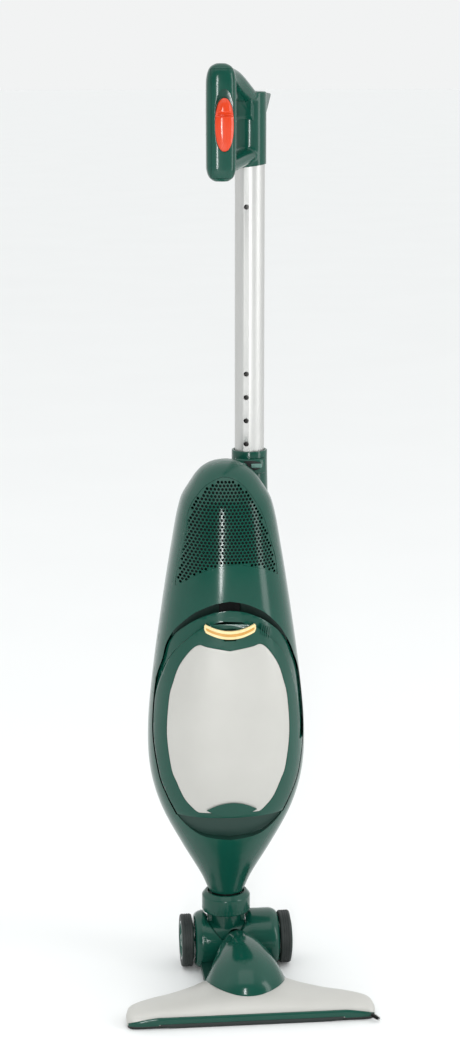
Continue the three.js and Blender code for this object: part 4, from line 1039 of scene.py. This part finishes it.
bag_low, bag_high = span("dust_bag")
bag_middle = (bag_low + bag_high) / 2
bag_half = (bag_high - bag_low) / 2
rng = np.random.default_rng(7)
waves = [(rng.uniform(0.5, 3.0, 3), rng.uniform(0, 2 * math.pi), rng.uniform(0.2, 0.5)) for _ in range(9)]
rings = []
for level in np.linspace(-1, 1, 49):
    fullness = (1 - abs(level) ** 6) ** 0.5 * (1 - 0.16 * max(0.0, level) ** 2)
    fullness = max(fullness, 0.12)
    ring = []
    for turn in np.linspace(0, 2 * math.pi, 96, endpoint=False):
        c, s = math.cos(turn), math.sin(turn)
        x = math.copysign(abs(c) ** 0.6, c) * fullness
        y = math.copysign(abs(s) ** 0.7, s) * fullness
        pinch = 0.07 * math.exp(-((abs(c) - 1) / 0.03) ** 2)
        crease = sum(a * math.sin(f[0] * 6 * x + f[1] * 5 * y + f[2] * 7 * level + p) for f, p, a in waves)
        scale = 0.93 - pinch + 0.014 * crease
        ring.append([
            bag_middle[0] + bag_half[0] * x * scale, bag_middle[1] + bag_half[1] * y * scale,
            bag_middle[2] + bag_half[2] * 0.985 * level,
        ])
    rings.append(ring)
bag = loft("paper_dust_bag", rings)
fit(bag, filter_paper, "main_body", "paper", "dust_bag", sharp=80)
finish_node("bag_card", filter_paper)
finish_node("bag_chamber", dark_abs)
finish_node("suction_duct", black_abs)

# ---------------------------------------------------------------- motor and fan
# A universal motor stands upright under the grille with its fan below it. Its stator is a stack of
# thin steel sheets wound with copper, held by a pressed steel bracket, and a board drives it.
windings, winding_shader, place = surface("copper_windings", Metallic=0.7, Roughness=0.4)
turns_of_wire = add(
    windings, "TexWave", {"Scale": 1 / (2.6 * MM), "Distortion": 1.5, "Detail": 2.0}, {"Vector": place},
    bands_direction="Z",
)
winding_tint = add(
    windings, "MixRGB", {"Color1": linear("#6B3A1C"), "Color2": linear("#B9703A")},
    {"Fac": turns_of_wire.outputs["Fac"]},
)
windings.node_tree.links.new(winding_tint.outputs["Color"], winding_shader.inputs["Base Color"])
winding_bump = add(windings, "Bump", {"Distance": 0.3 * MM}, {"Height": turns_of_wire.outputs["Fac"]})
windings.node_tree.links.new(winding_bump.outputs["Normal"], winding_shader.inputs["Normal"])

solder_mask, mask_shader, place = surface("solder_masked_board", Roughness=0.4)
tracks = add(solder_mask, "TexVoronoi", {"Scale": 1 / (4 * MM)}, {"Vector": place}, distance="MANHATTAN")
mask_tint = add(
    solder_mask, "MixRGB", {"Color1": linear("#1E5A33"), "Color2": linear("#2F7A45")},
    {"Fac": tracks.outputs["Distance"]},
)
solder_mask.node_tree.links.new(mask_tint.outputs["Color"], mask_shader.inputs["Base Color"])

for node_name, material in {
    "inlet_seal": soft_rubber, "fan_housing": black_abs, "motor_bracket": zinc, "motor_stator": windings,
    "rotor_shaft": zinc, "armature": windings, "impeller": black_abs, "control_board": solder_mask,
}.items():
    finish_node(node_name, material)

# ---------------------------------------------------------------- screws and cord hook
# Four cross-head screws, sunk in bores, hold the rear housing to the front. The hook, of textured
# dark green ABS, turns on a boss at the back, and the cord is wound over it.
for word in screw_words:
    low, high = span(f"housing_screw_{word}")
    x, z = (low[0] + high[0]) / 2, (low[2] + high[2]) / 2
    head = rod(f"screw_{word}", (x, low[1], z), (x, high[1], z), (high[0] - low[0]) / 2, sides=32, edge=0.7)
    carve(
        head, block("tool", (x - 2, high[1] - 1.1, z - 0.45), (x + 2, high[1] + 1, z + 0.45)),
        block("tool", (x - 0.45, high[1] - 1.1, z - 2), (x + 0.45, high[1] + 1, z + 2)),
    )
    fit(head, zinc, "main_body", "steel", f"housing_screw_{word}")

low, high = span("cord_hook")
hook_x, boss_radius = (low[0] + high[0]) / 2, (high[0] - low[0]) / 2
boss_z = high[2] - boss_radius
hook = rod(
    "cord_winding_hook", (hook_x, low[1], boss_z), (hook_x, high[1] - 1, boss_z), boss_radius,
    sides=64, edge=0.8,
)
arm_outline = rounded([
    (hook_x - 8, boss_z + 4), (hook_x - 8, low[2]), (hook_x + 8, low[2]), (hook_x + 8, boss_z + 4),
], 6, 6)
arm = soften(prism("tool", arm_outline, "Y", high[1] - 5, high[1]), 1.2, 40, 3)
carve(hook, arm, operation="UNION")
carve(hook, rod("tool", (hook_x, high[1] - 1.2, boss_z), (hook_x, high[1] + 2, boss_z), 4.5, sides=48))
fit(soften(hook, 0.4, 45), dark_abs, "hook", "dark_green_abs", "cord_hook")

# ---------------------------------------------------------------- telescopic tube
# The tube is drawn aluminium, satin anodised, so it has a faint grain along its length. A row of
# punched holes takes the locking pin, and a plastic plug guides its lower end.
anodised, anodised_shader, place = surface("satin_anodised_aluminium", Metallic=1.0)
drawn = add(anodised, "Mapping", None, {"Vector": place})
drawn.inputs["Scale"].default_value = (1 / (0.7 * MM), 1 / (0.7 * MM), 1 / (60 * MM))
grain = add(anodised, "TexNoise", {"Scale": 1.0, "Detail": 3.0}, {"Vector": drawn.outputs["Vector"]})
anodised_tint = add(
    anodised, "MixRGB", {"Color1": linear("#C6C6C4"), "Color2": linear("#D2D2D0")},
    {"Fac": grain.outputs["Fac"]},
)
anodised.node_tree.links.new(anodised_tint.outputs["Color"], anodised_shader.inputs["Base Color"])
anodised_polish = add(
    anodised, "MapRange", {"To Min": 0.42, "To Max": 0.55}, {"Value": grain.outputs["Fac"]}
)
anodised.node_tree.links.new(anodised_polish.outputs["Result"], anodised_shader.inputs["Roughness"])

tube_wall = 1.5
pin_x, first_hole, hole_step = 15.3, 618.0, 28.0
hole_drops = [0, 1, 2, 3, 4, 11]
pipe_profile = rounded([
    (tube_low[2], tube_radius - tube_wall), (tube_low[2], tube_radius), (tube_high[2], tube_radius),
    (tube_high[2], tube_radius - tube_wall),
], 0.5, 3)
pipe = turned("telescopic_tube", pipe_profile, (tube_x, tube_y, 0), "Z", 128)
hole_heights = [first_hole + k * hole_step for k in hole_drops]
carve(pipe, *[
    rod("tool", (pin_x, 140, height), (pin_x, tube_y, height), 3.0, sides=40) for height in hole_heights
])
fit(soften(pipe, 0.25, 50), anodised, "tube", "tube_aluminium", "handle_tube")
finish_node("tube_end_plug", black_abs)

# ---------------------------------------------------------------- height catch
# A ribbed green knob slides sideways in an oval recess in the collar, over a thin black sheet that is
# painted shade darkening the recess floor. It drives a steel pin into one of the tube's holes.
recess_shade_sheet = prism("catch_recess_painted_shade_sheet", grown(oval, -0.15), "Y", 148.35, 148.58)
carve(recess_shade_sheet, rod("tool", (pin_x, 140, first_hole), (pin_x, 150, first_hole), 3.0))
fit(recess_shade_sheet, black_abs, "main_body", "black_plastic")
low, high = span("catch_knob")
knob = soften(block("catch_slide_knob", low, high), 1.2, 40, 3)
knob_cuts = []
for k in range(4):
    x = low[0] + 2.6 + k * 2.6
    knob_cuts.append(block(
        "tool", (x - 0.4, low[1] - 1, low[2] + 0.7), (x + 0.4, low[1] + 0.6, high[2] - 0.7),
    ))
carve(knob, *knob_cuts)
# The knob is green ABS made pale all over: partly its own green, partly painted highlight for the light it
# catches.
catch_green_with_painted_highlight = moulded("catch_knob_green_painted_highlight", "#5E857B", "#6B9187", 0.3, 0.8, 0.002)
fit(knob, catch_green_with_painted_highlight, "catch", "green_abs", "catch_knob", sharp=30)
low, high = span("catch_pin")
lock_x, _, lock_z = (low + high) / 2
lock = rod(
    "locking_pin", (lock_x, low[1], lock_z), (lock_x, high[1], lock_z), (high[0] - low[0]) / 2,
    sides=40, edge=0.8,
)
fit(lock, zinc, "lock_pin", "steel", "catch_pin")

# ---------------------------------------------------------------- grip
# The grip is one glossy green moulding: a bar for the hand, straps above and below the fingers, a
# sleeve on the tube and a spur behind that the cord is wound over.
bar_x, bar_y, bar_half, bar_deep, bar_bottom, bar_top = -21.0, 91.0, 17.0, 14.0, 960.0, 1091.0
sleeve_radius, sleeve_bottom, sleeve_top = 18.9, 972.0, 1058.0


def bar_skin(name, turns=72):
    rows = np.array([
        [bar_bottom, 0.45], [bar_bottom + 4, 0.78], [bar_bottom + 12, 0.97], [bar_bottom + 20, 1],
        [bar_top - 22, 1], [bar_top - 12, 0.93], [bar_top - 6, 0.8], [bar_top - 2.5, 0.62], [bar_top, 0.3],
    ])
    turn = np.linspace(0, 2 * math.pi, turns, endpoint=False)
    c, s = np.cos(turn), np.sin(turn)
    rings = []
    for z in np.linspace(bar_bottom, bar_top, 90):
        share = float(smooth(rows, z, 1))
        rings.append(np.column_stack([
            bar_x + bar_half * share * np.sign(c) * np.abs(c) ** 0.72,
            bar_y + bar_deep * share * np.sign(s) * np.abs(s) ** 0.72, np.full(turns, z),
        ]))
    return loft(name, rings)


def strap(name, points, half_width, half_depth):
    """A round-edged band along a smooth path."""
    path = curved(points, 10)
    rings = []
    for i, centre in enumerate(path):
        along = path[min(i + 1, len(path) - 1)] - path[max(i - 1, 0)]
        along /= np.linalg.norm(along)
        side = np.cross(along, [0, 0, 1])
        side /= np.linalg.norm(side)
        up = np.cross(side, along)
        rings.append([
            centre + side * half_width * math.cos(a) + up * half_depth * math.sin(a)
            for a in np.linspace(0, 2 * math.pi, 48, endpoint=False)
        ])
    return loft(name, rings)


grip = bar_skin("loop_grip")
carve(
    grip, strap("tool", [(bar_x, bar_y, 1079), (-8, 118, 1074), (8, 150, 1059), (21, 176, 1045)], 15, 10),
    strap("tool", [(bar_x, bar_y, 975), (-4, 125, 979), (12, 155, 984), (21, 170, 988)], 13, 9),
    upright("tool", sleeve_radius + 0.2, tube_x, tube_y, sleeve_bottom - 1, sleeve_top), operation="UNION",
)
remesh = grip.modifiers.new("blend", "REMESH")
remesh.mode = "VOXEL"
remesh.voxel_size = 1.3 * MM
relax = grip.modifiers.new("relax", "SMOOTH")
relax.factor = 0.5
relax.iterations = 7
settle(grip)
swing = math.radians(-27)
turn_cos, turn_sin = math.cos(swing), math.sin(swing)
spur_points = []
spur_outline = [(-22, 1060), (42, 1054.5), (41, 1051.5), (22, 1026), (6, 1008), (0, 1008), (-22, 1030)]
for x in (-11, 11):
    for y, z in spur_outline:
        spur_points.append((
            tube_x + x * turn_cos - y * turn_sin, tube_y + x * turn_sin + y * turn_cos, z,
        ))
count = len(spur_outline)
spur_faces = [(k, (k + 1) % count, count + (k + 1) % count, count + k) for k in range(count)]
spur_faces += [tuple(range(count)), tuple(range(count, 2 * count))]
spur = soften(mesh_piece("tool", spur_points, spur_faces), 1.6, 30, 3)
carve(grip, spur, operation="UNION")
cover_left, cover_right = bar_x - bar_half + 4.5, bar_x + bar_half - 4
cover_low, cover_high = bar_bottom + 4, bar_top - 6
cover_front = bar_y - 2
inlet_start, inlet_end = (tube_x + 5, tube_y + 10, 1000), (tube_x + 16, tube_y + 32, 1000)
lower_cut = prism("tool", [
    (tube_x - 40, 960.5), (tube_x - 18, 970.3), (tube_x + 22, 975.5), (tube_x + 30, 960.5),
], "Y", 150, 200)
carve(lower_cut, block("tool", (-10, 150, 960), (60, 200, 990)), operation="INTERSECT")
carve(
    grip, upright("tool", tube_radius + 0.3, tube_x, tube_y, 900, tube_high[2] + 0.3),
    block("tool", (cover_left, 40, cover_low), (cover_right, cover_front, cover_high)),
    block("tool", (bar_x - 8, cover_front - 1, 1000), (bar_x + 8, bar_y + 9, 1050)),
    rod("tool", inlet_start, inlet_end, 4.8), lower_cut,
)
fit(soften(grip, 0.6, 50), green_abs, "tube", "green_abs", "grip_body", sharp=40)

# ---------------------------------------------------------------- grip cover and switch
# A narrow cover clips into the front of the bar. The orange slide switch runs in an oval slot
# in it, over the switch module, and the cord enters through a rubber bush behind.
slide_x, slide_half, slide_low, slide_high, slide_travel = -18.5, 10.5, 994.0, 1053.0, 9.0
slide_z, slide_tall = (slide_low + slide_high) / 2, (slide_high - slide_low) / 2


def slide_outline(grow, lift=0.0, turns=160):
    turn = np.linspace(0, 2 * math.pi, turns, endpoint=False)
    c, s = np.cos(turn), np.sin(turn)
    up = np.where(s > 0, lift, 0.0)
    return np.column_stack([
        slide_x + (slide_half + grow) * np.sign(c) * np.abs(c) ** 0.9,
        slide_z + (slide_tall + grow) * np.sign(s) * np.abs(s) ** 0.9 + up,
    ])


front_cover = bar_skin("grip_front_cover")
cover_zone = block(
    "tool", (cover_left + 0.3, 40, cover_low + 0.3),
    (cover_right - 0.3, cover_front - 0.3, cover_high - 0.3),
)
carve(front_cover, cover_zone, operation="INTERSECT")
carve(
    front_cover, prism("tool", slide_outline(0.35, slide_travel + 0.6), "Y", 40, bar_y - 8),
    block("tool", (slide_x - 3.5, 70, 1012), (slide_x + 3.5, bar_y, 1036 + slide_travel)),
)
fit(soften(front_cover, 0.9, 38, 3), green_abs, "tube", "green_abs", "grip_cover", sharp=36)
finish_node("switch_module", black_abs)
finish_node("cord_inlet", soft_rubber)

orange_abs = moulded("orange_abs", "#D03A16", "#D9441D", 0.16, 0.8, 0.001)
slide_front, slide_back = span("power_slider")[0][1], bar_y - 8.3
rings = []
for outline in (slide_outline(-6), slide_outline(0)):
    rings.append(np.column_stack([outline[:, 0], np.full(len(outline), slide_back), outline[:, 1]]))
for ratio in np.linspace(1, 0.02, 60):
    outline = slide_outline(0)
    x = slide_x + (outline[:, 0] - slide_x) * ratio
    z = slide_z + (outline[:, 1] - slide_z) * ratio
    knob_share = 1 / (1 + np.exp(-(z - 1037.0) / 0.35))
    dome = 3.0 * (1 - ratio**2.6)
    dip = 2.2 * np.exp(-((z - 1034.5) / 1.7) ** 2) * (1 - ratio**8)
    y = slide_front + 5.2 - dome - 2.2 * knob_share * (1 - ratio**8) + dip
    rings.append(np.column_stack([x, np.maximum(y, slide_front), z]))
slide = loft("slide_switch", rings)
carve(slide, block("tool", (slide_x - 3, 78, 1014), (slide_x + 3, bar_y - 0.3, 1033)), operation="UNION")
fit(slide, orange_abs, "slider", "orange_abs", "power_slider", sharp=40)

# ---------------------------------------------------------------- floor, light and camera
# The object stands on a wide pale floor in soft daylight, dimmer in front and brighter overhead. A
# tall narrow lamp in front gives the gloss its bright line, and a wide one on the right a paler band.
floor_mesh = bpy.data.meshes.new("studio_floor")
floor_half = 40.0
corners = [
    (-floor_half, -floor_half, 0), (floor_half, -floor_half, 0),
    (floor_half, floor_half, 0), (-floor_half, floor_half, 0),
]
floor_mesh.from_pydata(corners, [], [(0, 1, 2, 3)])
studio_floor = bpy.data.objects.new("studio_floor", floor_mesh)
bpy.context.scene.collection.objects.link(studio_floor)
floor_paint, floor_shader, floor_place = surface("matt_floor_paint", Roughness=0.9)
floor_cloud = add(floor_paint, "TexNoise", {"Scale": 1 / (400 * MM)}, {"Vector": floor_place})
floor_tint = add(
    floor_paint, "MixRGB", {"Color1": linear("#F1F2F2"), "Color2": linear("#F4F5F5")},
    {"Fac": floor_cloud.outputs["Fac"]},
)
floor_paint.node_tree.links.new(floor_tint.outputs["Color"], floor_shader.inputs["Base Color"])
floor_mesh.materials.append(floor_paint)

world = bpy.data.worlds.new("daylight")
world.use_nodes = True
sky_direction = add(world, "TexCoord").outputs["Generated"]
sky_parts = add(world, "SeparateXYZ", None, {"Vector": sky_direction})
sky_share = add(
    world, "MapRange", {"From Min": -0.85, "From Max": -0.1, "To Min": 0.0, "To Max": 1.0},
    {"Value": sky_parts.outputs["Y"]}, interpolation_type="SMOOTHSTEP",
)
sky_tint = add(
    world, "MixRGB", {"Color1": linear("#7C8080"), "Color2": linear("#F2F3F3")},
    {"Fac": sky_share.outputs["Result"]},
)
sky_height = add(
    world, "MapRange", {"From Min": 0.15, "From Max": 0.7, "To Min": 1.0, "To Max": 1.38},
    {"Value": sky_parts.outputs["Z"]}, interpolation_type="SMOOTHSTEP",
)
background = world.node_tree.nodes["Background"]
world.node_tree.links.new(sky_tint.outputs["Color"], background.inputs["Color"])
world.node_tree.links.new(sky_height.outputs["Result"], background.inputs["Strength"])
bpy.context.scene.world = world
bpy.context.scene.view_settings.view_transform = "Standard"

lamp_aim = Vector((body_x * MM, axle_y * MM, 0.55))


def lamp(name, azimuth, elevation, distance, width, height, power):
    """A soft area lamp that stands at an azimuth and elevation round the object and faces it."""
    light = bpy.data.lights.new(name, "AREA")
    light.shape = "RECTANGLE"
    light.size, light.size_y, light.energy = width, height, power
    lit = bpy.data.objects.new(name, light)
    a, e = math.radians(azimuth), math.radians(elevation)
    offset = Vector((math.sin(a) * math.cos(e), -math.cos(a) * math.cos(e), math.sin(e))) * distance
    lit.location = lamp_aim + offset
    lit.rotation_euler = (-offset).to_track_quat("-Z", "Y").to_euler()
    bpy.context.scene.collection.objects.link(lit)


lamp("strip_lamp", -8, 10, 3.0, 0.16, 1.5, 34)
lamp("side_lamp", 62, 12, 2.6, 0.7, 2.0, 16)
lamp("top_lamp", -5, 62, 3.4, 2.6, 2.0, 14)

azimuth, elevation, distance = math.radians(-6.0), math.radians(12.5), 2.68
camera_aim = Vector((-0.007, 0.128, 0.550))
camera_data = bpy.data.cameras.new("camera")
camera_data.lens = 77
camera_data.sensor_width = 36
camera = bpy.data.objects.new("camera", camera_data)
camera_offset = Vector((
    math.sin(azimuth) * math.cos(elevation), -math.cos(azimuth) * math.cos(elevation), math.sin(elevation),
)) * distance
camera.location = camera_aim + camera_offset
camera.rotation_euler = (-camera_offset).to_track_quat("-Z", "Y").to_euler()
bpy.context.scene.collection.objects.link(camera)
bpy.context.scene.camera = camera
